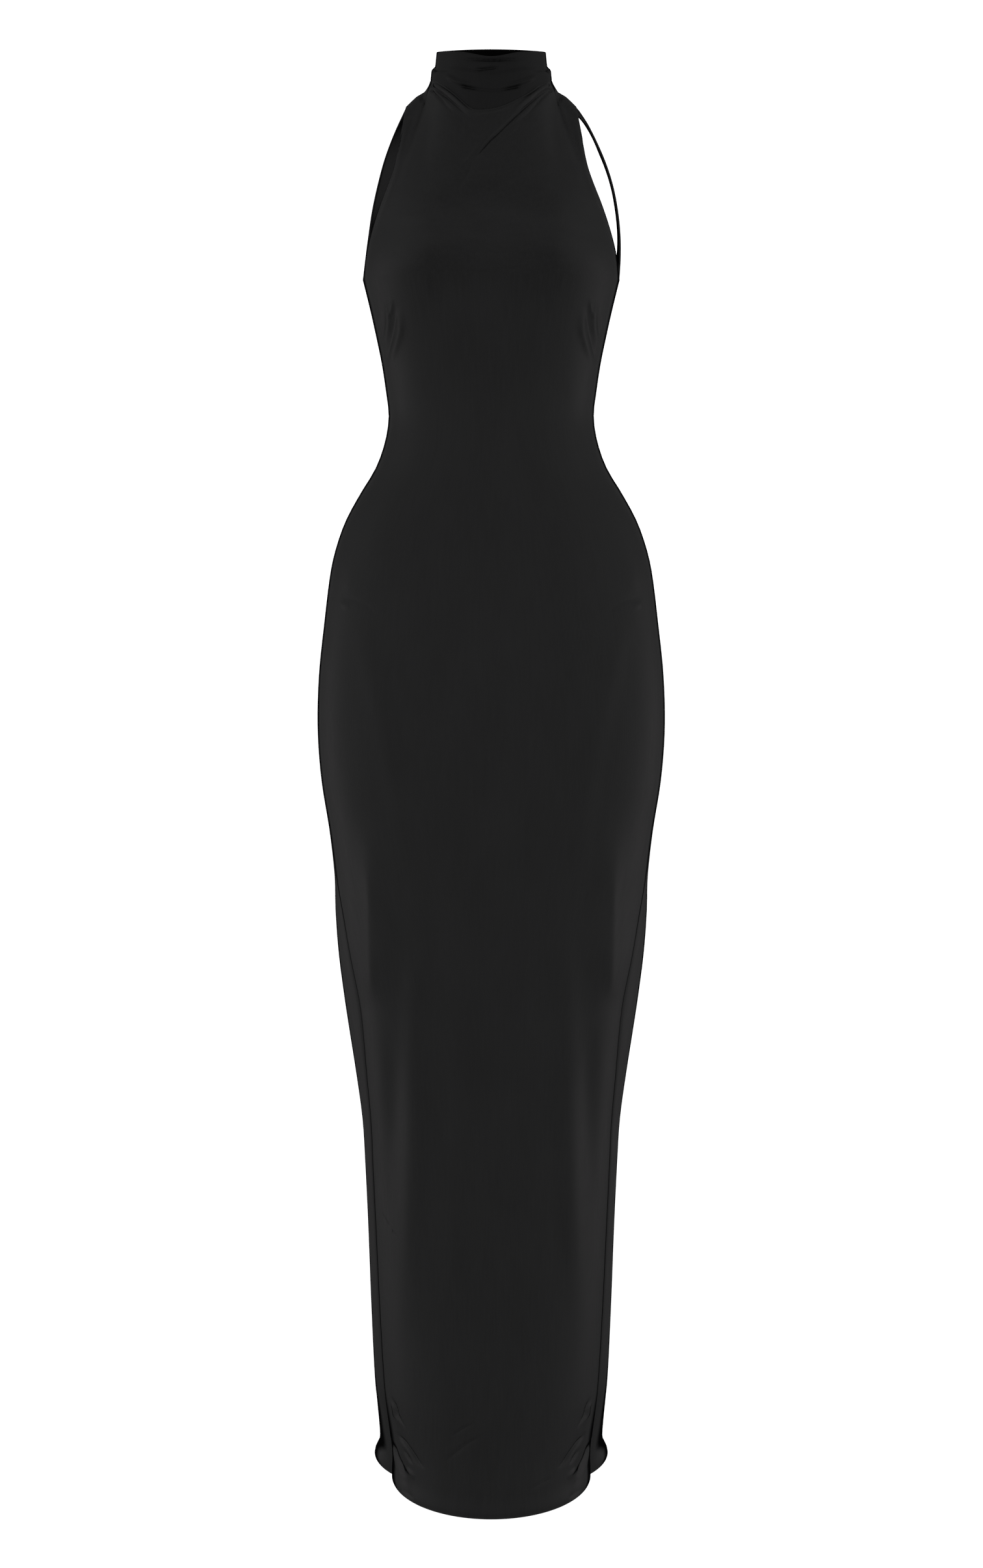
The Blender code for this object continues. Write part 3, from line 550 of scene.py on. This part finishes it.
# %% Draw the back panel's creases
BACK_CREASES = on_both_sides(
    ([(-112, -205), (-94, -250), (-84, -300)], 8, -2.2, 0.3, 0.5, 0.6),
) + draw(
    ([(-104, -318), (-50, -334), (6, -338)], 7, -2.4, 0.3, 0.5, 0.8),
    ([(104, -332), (60, -348), (18, -354)], 7, -2.2, 0.3, 0.5, -0.8),
    ([(-102, -352), (-70, -366), (-38, -370)], 5, -1.4, 0.3, 0.6, 0.5),
    ([(-150, -735), (-88, -716), (-20, -722)], 12, -2.2, 0.3, 0.5, 0.8),
    ([(150, -735), (86, -714), (16, -718)], 12, -2.2, 0.3, 0.5, -0.8),
    ([(-118, -1350), (-94, -1404), (-62, -1445)], 7, -3, 0.2, 0.2, 1),
    ([(118, -1350), (90, -1400), (50, -1445)], 7, -3, 0.2, 0.2, -1),
    ([(-40, -1100), (-52, -1220), (-58, -1340)], 14, -1.8, 0.5, 0.5),
    ([(36, -1080), (48, -1200), (56, -1330)], 14, -1.6, 0.5, 0.5),
)

# %% [markdown]
# ### From a drawn line to a raised surface
#
# Across a ridge the cloth follows a bell curve, which has no hard edge. A narrow trough closes to
# a line, where two layers of jersey meet. For each point of the cloth, the nearest place on the
# line gives the distance, how far the crease has faded there, and how fine the mesh has to be.

# %% Height of the creases
TRACE_STEP = 1 * MM
TRACE_LEAST = 8  # places on the shortest line
CREASE_END = 4  # widths to each side up to which a crease is worked out
CREASE_REACH = 2.2  # widths to each side that are cut finer
RIDGE_EDGE = 0.9  # longest edge on a ridge, in widths
TROUGH_EDGE = 0.5  # longest edge in the middle of a narrow trough, in widths
TROUGH_SPREAD = 0.6  # and how it grows with the distance
LINE_WIDTH = 3.0  # millimetres of width up to which a trough closes to a line
LINE_POWER = 1.4  # shape of a closed trough; 2 is a bell curve
LIP_PLACE, LIP_WIDTH = 2.1, 1.2  # in widths
SOFT_FORM = 7.0  # millimetres of width from which a crease needs no finer mesh
UNCUT = 1.0  # metres, longer than any edge


def trace(line):
    """A smooth line of closely spaced points through the places of a crease."""
    places = np.array(line, dtype=float) * MM
    keys = np.concatenate([[0], np.cumsum(norm(np.diff(places, axis=0), axis=1))])
    table = [(k, *place) for k, place in zip(keys / MM, places)]
    steps = np.linspace(0, keys[-1] / MM, max(int(keys[-1] / TRACE_STEP), TRACE_LEAST))
    return np.stack(read_table(table, steps), axis=-1)


def crease_height(creases, points, side):
    """Height of all creases at many points, and the longest edge allowed there.

    The side is -1 for the front of the dress and 1 for its back.
    """
    total = np.zeros(len(points))
    longest = np.full(len(points), UNCUT)
    flat = points[:, [0, 2]]
    facing = points[:, 1] * side >= 0
    for crease in creases:
        way = trace(crease.line)
        width = crease.width * MM
        reach = CREASE_END * width
        low, high = way.min(axis=0) - reach, way.max(axis=0) + reach
        near = np.flatnonzero(facing & ((flat > low) & (flat < high)).all(axis=1))
        if not len(near):
            continue
        gaps = flat[near][:, None, :] - way[None, :, :]
        far = norm(gaps, axis=2)
        closest = far.argmin(axis=1)
        distance = far[np.arange(len(near)), closest]
        along = closest / (len(way) - 1)
        run = way[np.minimum(closest + 1, len(way) - 1)] - way[np.maximum(closest - 1, 0)]
        gap = gaps[np.arange(len(near)), closest]
        left = np.sign(run[:, 0] * gap[:, 1] - run[:, 1] * gap[:, 0])
        fade = smooth(along / crease.start) * smooth((1 - along) / crease.end)
        closes = crease.depth < 0 and crease.width < LINE_WIDTH
        body = crease.depth * np.exp(-((distance / width) ** (LINE_POWER if closes else 2)))
        beside = (distance * left * np.sign(crease.lip) - LIP_PLACE * width) / (LIP_WIDTH * width)
        lip = abs(crease.lip) * np.exp(-(beside**2))
        total[near] += (body + lip) * fade * MM
        if crease.width < SOFT_FORM:
            inside = distance < CREASE_REACH * width
            wanted = RIDGE_EDGE * np.maximum(width, distance[inside])
            if closes:
                wanted = TROUGH_EDGE * width + TROUGH_SPREAD * distance[inside]
            longest[near[inside]] = np.minimum(longest[near[inside]], wanted)
    return total, longest


print(len(COLLAR_CREASES), "creases in the collar,", len(FRONT_CREASES), "in the front panel,",
      len(BACK_CREASES), "in the back panel")

# %% [markdown]
# ## Laying a sheet with turned edges
#
# Jersey is a grid of loops, whose columns are the wales that run down the dress, so each sheet
# starts as a flat grid. More edges are cut in where a crease runs, and every point is then moved
# to its place on the form. The grid is wider than the form: what reaches past an edge rolls over
# it and lies back on the inside, as a sewer turns an edge.

# %% Turned and tucked edges
JERSEY = 0.55 * MM  # thickness of one layer
NUDGE = 1e-4  # step across and down with which a form's slopes are measured
ROLL = [0.25, 0.5, 0.75, 1.0]  # places round a turned edge
DRAWN_TOGETHER = 0.15 * MM  # how far the stitches pull a turned edge past its seam
TUCK_START = 1.4 * MM  # how far before the seam a tucked edge starts to dip
EDGE_SHIFT = 0.12  # share of the sheet over which an edge's inset is taken up
# radius  of the roll
# reach   how far the cloth runs on behind the roll; less than 0 is a share of the form
# steps   places along the part that runs on
# tucked  share of the edge, by its place across, that runs on under its neighbour
# dip     how deep it runs there
Turning = namedtuple("Turning", "radius reach steps tucked dip", defaults=(None, 0.0))


# places    places across or down a sheet, with those of the turnings past both ends
# ends      first and last place of the form
# turnings  what happens past each
Run = namedtuple("Run", "places ends turnings")


def stations(parts, before, after):
    """The run of places across or down a sheet, from parts (first, last, number of places)."""
    places = [np.linspace(a, b, n, endpoint=False) for a, b, n in parts]
    first, last = parts[0][0], parts[-1][1]
    lead, tail = (
        [] if turning is None else ROLL + list(1 + np.arange(1, turning.steps + 1) / turning.steps)
        for turning in (before, after)
    )
    places = np.concatenate([first - np.array(lead[::-1]), *places, [last], last + np.array(tail)])
    return Run(places, (first, last), (before, after))


def turn_edge(extra, turning, scale, across):
    """How far cloth lies past an edge, as a share of the form, and how deep inside it.

    Up to 1 the extra is the bend at the edge, and from 1 to 2 the cloth behind it.
    """
    bend = np.clip(extra, 0, 1)
    behind = np.maximum(extra - 1, 0)
    reach = turning.reach if turning.reach > 0 else -turning.reach * scale
    past = turning.radius * (np.sin(bend * np.pi) - 1) + DRAWN_TOGETHER - behind * reach
    deep = turning.radius * (1 - np.cos(bend * np.pi))
    if turning.tucked is not None:
        share = turning.tucked(across)
        past += share * ((bend - 1) * TUCK_START + behind * abs(turning.reach) - past)
        deep += share * (turning.dip * smooth(bend) - deep)
    return past / scale, deep


def slopes_of(surface, across, down, limits):
    """Points of a form and its steps across and down for one unit of each."""
    (a0, a1), (d0, d1) = limits
    right, left = np.minimum(across + NUDGE, a1), np.maximum(across - NUDGE, a0)
    under, over = np.minimum(down + NUDGE, d1), np.maximum(down - NUDGE, d0)
    side = (surface(right, down) - surface(left, down)) / (right - left)[:, None]
    fall = (surface(across, under) - surface(across, over)) / (under - over)[:, None]
    return surface(across, down), side, fall


def edge_shift(place, limits, turnings, scale, across):
    """Shift along the form and depth inside it that the turnings at both ends give."""
    shift, depth = np.zeros(place.shape), np.zeros(place.shape)
    for end, turning, way in zip(limits, turnings, (-1, 1)):
        if turning is not None:
            past, deep = turn_edge(np.maximum(way * (place - end), 0), turning, scale, across)
            inside = np.clip(place, *limits)
            shift += way * past * np.clip(1 - np.abs(inside - end) / EDGE_SHIFT, 0, 1)
            depth += deep
    return shift, depth


def place_cloth(surface, creases, facing, across, down, limits, turnings):
    """Points of a sheet on its form, with its creases and its turned edges."""
    inside_a, inside_d = np.clip(across, *limits[0]), np.clip(down, *limits[1])
    _, side, fall = slopes_of(surface, inside_a, inside_d, limits)
    side_scale, fall_scale = norm(side, axis=1), norm(fall, axis=1)
    shift_a, deep_a = edge_shift(across, limits[0], turnings[0], side_scale, inside_a)
    shift_d, deep_d = edge_shift(down, limits[1], turnings[1], fall_scale, inside_a)
    at_a = np.clip(inside_a + shift_a, *limits[0])
    at_d = np.clip(inside_d + shift_d, *limits[1])
    over_a = (inside_a + shift_a - at_a)[:, None]
    over_d = (inside_d + shift_d - at_d)[:, None]
    points, side, fall = slopes_of(surface, at_a, at_d, limits)
    normal = np.cross(fall, side)
    normal /= norm(normal, axis=1)[:, None]
    height, _ = crease_height(creases, points, facing)
    lift = height - deep_a - deep_d
    return points + side * over_a + fall * over_d + normal * lift[:, None]


# %% One sheet of cloth
CUTS = 3  # most times that a face is halved under a crease


def lay_sheet(name, surface, creases, facing, across, down, flat):
    """Make a sheet of cloth from a flat grid, cut finer where creases run.

    Flat gives the metres of cloth for one unit across and for one unit down.
    """
    limits, turnings = (across.ends, down.ends), (across.turnings, down.turnings)
    bm = bmesh.new()
    columns, rows = len(across.places), len(down.places)
    bmesh.ops.create_grid(bm, x_segments=columns - 1, y_segments=rows - 1, size=0.5)
    bmesh.ops.translate(bm, verts=bm.verts, vec=Vector((0.5, -0.5, 0)))
    bmesh.ops.scale(bm, verts=bm.verts, vec=Vector((columns - 1, rows - 1, 1)))

    def places_of_points():
        spots = np.array([vert.co[:2] for vert in bm.verts])
        return (
            np.interp(spots[:, 0], np.arange(columns), across.places),
            np.interp(-spots[:, 1], np.arange(rows), down.places),
        )

    for _ in range(CUTS if creases else 0):
        bm.verts.index_update()
        a, d = places_of_points()
        points = surface(np.clip(a, *limits[0]), np.clip(d, *limits[1]))
        _, longest = crease_height(creases, points, facing)
        inside = (a == np.clip(a, *limits[0])) & (d == np.clip(d, *limits[1]))
        ends = np.array([[vert.index for vert in edge.verts] for edge in bm.edges])
        length = norm(points[ends[:, 0]] - points[ends[:, 1]], axis=1)
        long = (length > longest[ends].min(axis=1)) & inside[ends].all(axis=1)
        edges = [edge for edge, cut in zip(bm.edges, long) if cut]
        if edges:
            bmesh.ops.subdivide_edges(bm, edges=edges, cuts=1, use_grid_fill=True)
    bm.verts.index_update()
    a, d = places_of_points()
    uv_of = np.stack([a * flat[0], d * flat[1]], axis=-1)
    uv = bm.loops.layers.uv.new("cloth")
    for face in bm.faces:
        for loop in face.loops:
            loop[uv].uv = uv_of[loop.vert.index]
    for vert, point in zip(bm.verts, place_cloth(surface, creases, facing, a, d, limits, turnings)):
        vert.co = point
    print(f"{name}: {(columns - 1) * (rows - 1)} faces laid, {len(bm.faces)} after cutting finer")
    return bm


def add_object(name, data):
    """Put a mesh, a light or a camera in the scene."""
    thing = bpy.data.objects.new(name, data)
    bpy.context.collection.objects.link(thing)
    return thing


def add_mesh(name, bm, *materials):
    """Put a bmesh in the scene as an object with its materials."""
    mesh = bpy.data.meshes.new(name)
    bm.to_mesh(mesh)
    bm.free()
    for material in materials:
        mesh.materials.append(material)
    return add_object(name, mesh)


def finish_sheet(name, bm, right_side, wrong_side):
    """Give a sheet its thickness, its two sides and its place in the scene."""
    piece = add_mesh(name, bm, right_side, wrong_side)
    mesh = piece.data
    mesh.shade_smooth()
    shell = piece.modifiers.new("cloth thickness", "SOLIDIFY")
    shell.thickness = JERSEY
    shell.offset = -1
    shell.material_offset = 1
    area = sum(face.area for face in mesh.polygons)
    triangles = 2 * sum(len(face.vertices) - 2 for face in mesh.polygons)
    print(f"{name}: {area:.3f} square metres of cloth, about {triangles} triangles")
    return piece


# %% [markdown]
# ## Slinky jersey
#
# The dress is knitted from smooth, bright polyester yarn with some elastane, dyed black. The
# fine loops line up in wales, which catch the light from the side in a soft, wide sheen, while
# the front stays nearly black. Tension and dye vary a little in streaks and patches. Where the
# cloth is seen edge-on, a matt black is mixed in as a painted dark outline. The real wales are
# 0.6 mm apart, too fine to show, so they are drawn 1.3 mm apart.

# %% Helpers for materials
def to_linear(code):
    """A colour given as sRGB hex, as linear light."""
    parts = [int(code[i : i + 2], 16) / 255 for i in (1, 3, 5)]
    linear = [v / 12.92 if v <= 0.04045 else ((v + 0.055) / 1.055) ** 2.4 for v in parts]
    return (*linear, 1.0)


def add_node(tree, kind, settings=None, links=None):
    """Add a shader node with its settings, and links from other nodes' outputs."""
    node = tree.nodes.new("ShaderNode" + kind)
    for name, value in (settings or {}).items():
        if isinstance(name, str) and hasattr(node, name):
            setattr(node, name, value)
        else:
            node.inputs[name].default_value = value
    for name, source in (links or {}).items():
        tree.links.new(source, node.inputs[name])
    return node


WALE_MM = 1.3
WAVE_UNIT = math.pi / 10  # a wave texture of scale 1 repeats after this length
STREAKS = 260.0  # per metre of cloth, 4 mm apart
CLOUDS = 24.0  # per metre of cloth, 42 mm apart
ROUGHNESS_SPREAD = 0.04


def jersey(name, base, roughness, level):
    """Black jersey with fine wales, and a painted dark outline where it is seen edge-on."""
    material = bpy.data.materials.new(name)
    material.use_nodes = True
    tree = material.node_tree
    tree.nodes.clear()
    cloth = add_node(tree, "UVMap", {"uv_map": "cloth"}).outputs["UV"]
    drawn = add_node(tree, "Mapping", {"Scale": (1.0, 0.12, 1.0)}, {"Vector": cloth})
    streaks = add_node(
        tree, "TexNoise", {"Scale": STREAKS, "Detail": 3.0, "Roughness": 0.6},
        {"Vector": drawn.outputs["Vector"]},
    ).outputs["Fac"]
    patch = add_node(tree, "Mapping", {"Scale": (1.0, 0.4, 1.0)}, {"Vector": cloth})
    clouds = add_node(
        tree, "TexNoise", {"Scale": CLOUDS, "Detail": 3.0, "Roughness": 0.55},
        {"Vector": patch.outputs["Vector"]},
    ).outputs["Fac"]
    both = add_node(tree, "Mix", {"data_type": "FLOAT", "Factor": 0.45}, {2: streaks, 3: clouds})
    dye = add_node(
        tree, "MapRange", {"From Min": 0.35, "From Max": 0.65}, {"Value": both.outputs["Result"]}
    )
    colour = add_node(
        tree, "Mix", {"data_type": "RGBA", 6: to_linear(base[0]), 7: to_linear(base[1])},
        {"Factor": dye.outputs["Result"]},
    )
    least, most = roughness - ROUGHNESS_SPREAD, roughness + ROUGHNESS_SPREAD
    uneven = add_node(
        tree, "MapRange", {"From Min": 0.3, "From Max": 0.7, "To Min": least, "To Max": most},
        {"Value": streaks},
    ).outputs["Result"]
    wales = add_node(
        tree, "TexWave", {"Scale": WAVE_UNIT / (WALE_MM * MM), "Distortion": 0.6, "Detail": 1.0},
        {"Vector": cloth},
    )
    knit = add_node(
        tree, "Bump", {"Strength": 0.3, "Distance": 0.08 * MM}, {"Height": wales.outputs["Fac"]}
    )
    pebble = add_node(
        tree, "Bump", {"Strength": 0.25, "Distance": 0.15 * MM},
        {"Height": streaks, "Normal": knit.outputs["Normal"]},
    )
    face_on = add_node(
        tree, "BsdfPrincipled", {"IOR": 1.5, "Specular IOR Level": level},
        {"Base Color": colour.outputs[2], "Roughness": uneven, "Normal": pebble.outputs["Normal"]},
    )
    # painted dark outline: a matt diffuse in the base colour is mixed in where the cloth is seen edge-on
    painted_dark_outline = add_node(tree, "BsdfDiffuse", {"Color": to_linear(base[0])})
    facing = add_node(tree, "LayerWeight", {"Blend": 0.5})
    outline_share = add_node(
        tree, "MapRange",
        {"interpolation_type": "SMOOTHSTEP", "From Min": 0.74, "From Max": 0.85},
        {"Value": facing.outputs["Facing"]},
    ).outputs["Result"]
    shader = add_node(
        tree, "MixShader", {},
        {"Fac": outline_share, 1: face_on.outputs["BSDF"], 2: painted_dark_outline.outputs["BSDF"]},
    )
    add_node(tree, "OutputMaterial", {}, {"Surface": shader.outputs["Shader"]})
    print(f"{name}: {len(tree.nodes)} nodes, wales {WALE_MM} mm apart")
    return material


slinky = jersey("slinky_jersey", ("#111112", "#1d1d1e"), 0.40, 0.5)

# %% [markdown]
# ### The doubled collar
#
# The collar's jersey is a darker copy of the dress's, a little rougher and mirroring less.

# %% A darker copy of the jersey
darker_collar_jersey = jersey("darker_collar_jersey_copy", ("#0e0e0f", "#19191a"), 0.44, 0.34)

# %% [markdown]
# ### The wrong side
#
# The back of the knit is matt, because there the loops lie crosswise and scatter the light. It
# is also coloured darker than the right side, as painted shade, since it shows inside the
# collar, at the hem and in the open back, where shade falls.

# %% The matt wrong side, coloured darker as painted shade
matt_and_painted_shade = jersey("matt_wrong_side_painted_shade", ("#060606", "#080808"), 0.9, 0.1)

# %% [markdown]
# ## The front panel
#
# One panel from the neck seam to the hem. Its neck and shoulder edges dip into their seams,
# where the allowance is sewn down. The armholes and side seams are turned by 6 mm, the hem by
# 20 mm, in rolls a little wider than two layers, or the turned layer would push through.

# %% Lay the front panel
PANEL_FLAT = (0.235, 1.264)
EDGE = Turning(0.8 * MM, 6 * MM, 2)
HEM = Turning(1 * MM, 20 * MM, 5)
NECK_EDGE = Turning(0.6 * MM, 1.6 * MM, 2, np.ones_like, 0.4 * MM)
CHEST = [(0, 0.03, 5), (0.03, 0.5, 18), (0.5, 1, 16)]
BELOW_THE_ARMS = [(1, 1.3, 36), (1.3, 1.88, 60), (1.88, 2, 24)]
panel_across = stations([(-1, 1, 90)], EDGE, EDGE)
front_down = stations(CHEST + BELOW_THE_ARMS, NECK_EDGE, HEM)
front_cloth = lay_sheet(
    "front_panel_cloth", front_surface, FRONT_CREASES, -1, panel_across, front_down, PANEL_FLAT
)
front_panel = finish_sheet("front_panel_cloth", front_cloth, slinky, matt_and_painted_shade)

# %% [markdown]
# ## The back panel
#
# It meets the front panel at the side seams and carries the shoulder bands at the ends of its
# curved top edge, which is turned like the armholes.

# %% Lay the back panel
back_down = stations(BELOW_THE_ARMS, EDGE, HEM)
back_cloth = lay_sheet(
    "back_panel_cloth", back_surface, BACK_CREASES, 1, panel_across, back_down, PANEL_FLAT
)
back_panel = finish_sheet("back_panel_cloth", back_cloth, slinky, matt_and_painted_shade)

# %% [markdown]
# ## The collar
#
# A tube: the cloth rolls over softly at the rim and hangs down inside, where it takes the darker
# matt material as painted shade. At the foot, the front half is tucked under the front panel.
# The back half is free above the open back and is only turned.

# %% Lay the collar
TUCK_FADE = 0.05  # of half the way round, over which the tucked part passes into the free one
SHADED_INSIDE_START = 0.4  # place round the roll at the rim from which the cloth is matt


def under_the_panel(across):
    """Share of the collar's foot that is tucked: all of it in front, none at the back."""
    return smooth((0.5 - np.abs(across)) / TUCK_FADE)


RIM = Turning(1.2 * MM, -0.94, 24)
FOOT = Turning(0.6 * MM, 3.5 * MM, 3, under_the_panel, 0.25 * MM)
COLLAR_HEIGHT = 0.045
collar_across = stations([(-1, 1, 200)], None, None)
collar_down = stations([(0, 1, 44)], RIM, FOOT)
collar = lay_sheet(
    "collar_cloth", collar_surface, COLLAR_CREASES, -1, collar_across, collar_down,
    (0.19, COLLAR_HEIGHT),
)
uv = collar.loops.layers.uv["cloth"]
# the inside of the collar takes the darker matt material: painted shade
for face in collar.faces:
    if max(loop[uv].uv.y for loop in face.loops) < -SHADED_INSIDE_START * COLLAR_HEIGHT:
        face.material_index = 1
bmesh.ops.remove_doubles(collar, verts=collar.verts, dist=0.01 * MM)
bmesh.ops.recalc_face_normals(collar, faces=collar.faces)
collar_piece = finish_sheet("collar_cloth", collar, darker_collar_jersey, matt_and_painted_shade)

# %% [markdown]
# ## The shoulder bands
#
# Each band is a narrow strip with rolled edges, pulled from the shoulder seam to the underarm by
# the weight of the skirt. It stands for a strip that is folded double, so both of its faces are
# the smooth right side. Its top is tucked under the front panel's shoulder edge.

# %% Lay the shoulder bands
BAND_TOP = Turning(0.6 * MM, 1.5 * MM, 1, np.ones_like, 0.6 * MM)
BAND_EDGE = Turning(0.7 * MM, 1.2 * MM, 1)
band_across = stations([(-1, 1, 18)], BAND_EDGE, BAND_EDGE)
band_down = stations([(0, 0.2, 24), (0.2, 1, 60)], BAND_TOP, EDGE)
bands = {}
for side, label, table in ((-1, "left", LEFT_BAND), (1, "right", RIGHT_BAND)):
    name = f"strap_{label}_cloth"
    sheet = lay_sheet(name, band_surface(table, side), [], 1, band_across, band_down, (0.012, 0.2))
    bands[label] = finish_sheet(name, sheet, slinky, slinky)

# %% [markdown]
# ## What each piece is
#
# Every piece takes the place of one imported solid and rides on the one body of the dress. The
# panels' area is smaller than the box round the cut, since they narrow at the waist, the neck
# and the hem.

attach(front_panel, "root")
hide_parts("front_panel")
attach(back_panel, "root")
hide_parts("back_panel")
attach(collar_piece, "root")
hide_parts("collar")
for label, band in bands.items():
    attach(band, "root")
    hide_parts(f"strap_{label}")

# %% [markdown]
# ## Camera
#
# A short telephoto lens at waist height, three metres away and tilted down by a few degrees,
# takes in the whole dress.

# %% Place the camera
camera_data = bpy.data.cameras.new("camera")
camera_data.lens = 66.9
camera_data.sensor_width = 36
camera = add_object("camera", camera_data)
camera.location = (0.0003, -3.0, -0.320)
camera.rotation_euler = (math.radians(82.73), 0, 0)
bpy.context.scene.camera = camera
print("camera:", [round(v, 2) for v in camera.location], "lens", camera_data.lens, "mm")

# %% [markdown]
# ## Light
#
# Black cloth shows only what it mirrors. It hangs in a tent of soft light: even in front, a
# little brighter at both sides and dimmer behind. Above and below the dress the tent is darker
# than beside it, and right under it the floor is bright again.

# %% Light tent
def direction_ramp(tree, source, stops):
    """A grey ramp over one part of the direction, which runs from -1 to 1."""
    place = add_node(tree, "MapRange", {"From Min": -1.0, "From Max": 1.0}, {"Value": source})
    node = add_node(tree, "ValToRGB", {}, {"Fac": place.outputs["Result"]})
    ramp = node.color_ramp
    ramp.interpolation = "EASE"
    for index, (position, value) in enumerate(stops):
        stop = ramp.elements[index] if index < 2 else ramp.elements.new(position)
        stop.position = position
        stop.color = (value, value, value, 1)
    return node.outputs["Color"]


world = bpy.data.worlds.new("light tent")
bpy.context.scene.world = world
world.use_nodes = True
tent = world.node_tree
background = tent.nodes["Background"]
direction = add_node(tent, "TexCoord")
parts = add_node(tent, "SeparateXYZ", {}, {"Vector": direction.outputs["Generated"]})
FRONT_TO_BACK = [
    (0, 0.96), (0.28, 1.02), (0.5, 1.05), (0.62, 0.88), (0.74, 0.58), (0.86, 0.34), (0.94, 0.36),
    (1, 0.5),
]
FLOOR_TO_TOP = [
    (0, 1.1), (0.1, 0.85), (0.2, 0.52), (0.29, 0.54), (0.38, 1.08), (0.46, 0.99), (0.56, 0.94),
    (0.69, 1), (0.78, 0.84), (0.88, 0.66), (1, 0.7),
]
light = add_node(
    tent, "Mix", {"data_type": "RGBA", "blend_type": "MULTIPLY", "Factor": 1.0},
    {
        6: direction_ramp(tent, parts.outputs["Y"], FRONT_TO_BACK),
        7: direction_ramp(tent, parts.outputs["Z"], FLOOR_TO_TOP),
    },
)
tent.links.new(light.outputs[2], background.inputs["Color"])
background.inputs["Strength"].default_value = 0.35
bpy.context.scene.view_settings.view_transform = "Standard"
print("light tent with strength", background.inputs["Strength"].default_value)


# %% [markdown]
# Two tall, weak softboxes beside the dress and a little behind it add the streaks of light along
# the hips and the legs.

# %% Softboxes
def add_softbox(name, place, target, size, power, colour):
    """A rectangular area light that faces a point and doesn't show itself."""
    light = bpy.data.lights.new(name, "AREA")
    light.shape = "RECTANGLE"
    light.size, light.size_y = size
    light.energy = power
    light.color = colour
    box = add_object(name, light)
    box.location = place
    box.rotation_euler = (Vector(target) - Vector(place)).to_track_quat("-Z", "Y").to_euler()
    box.visible_camera = False
    print(f"{name}: {power} W at {place}")


for side in (-1, 1):
    add_softbox(
        "side softbox", (side * 2.5, 1.0, -1.3), (0, 0, -0.95), (1.2, 1.8), 1.4, (1.0, 0.93, 0.955)
    )

# %% [markdown]
# ## Floor and backdrop
#
# A pale floor and a pale sweep, both evenly bright. They are seen by the camera alone, so that
# they don't put light on the cloth.

# %% Floor and backdrop
FLOOR_Z = -1.53
STUDIO_RADIUS = 9.0


def plain_white(name, strength):
    """A pale surface that is bright by itself, like a lit studio sweep."""
    material = bpy.data.materials.new(name)
    material.use_nodes = True
    shader = material.node_tree.nodes["Principled BSDF"]
    shader.inputs["Base Color"].default_value = to_linear("#f4f4f4")
    shader.inputs["Roughness"].default_value = 0.9
    shader.inputs["Emission Color"].default_value = (1, 1, 1, 1)
    shader.inputs["Emission Strength"].default_value = strength
    return material


def add_stage(name, bm, material):
    """A part of the studio, seen by the camera alone."""
    thing = add_mesh(name, bm, material)
    thing.visible_diffuse = False
    thing.visible_glossy = False
    thing.visible_shadow = False


floor = bmesh.new()
bmesh.ops.create_circle(floor, cap_ends=True, segments=96, radius=STUDIO_RADIUS)
bmesh.ops.translate(floor, verts=floor.verts, vec=Vector((0, 0, FLOOR_Z)))
add_stage("pale floor", floor, plain_white("painted floor", 1.0))
dome = bmesh.new()
bmesh.ops.create_icosphere(dome, subdivisions=4, radius=STUDIO_RADIUS)
bmesh.ops.reverse_faces(dome, faces=dome.faces)
add_stage("backdrop", dome, plain_white("backdrop paper", 1.05))
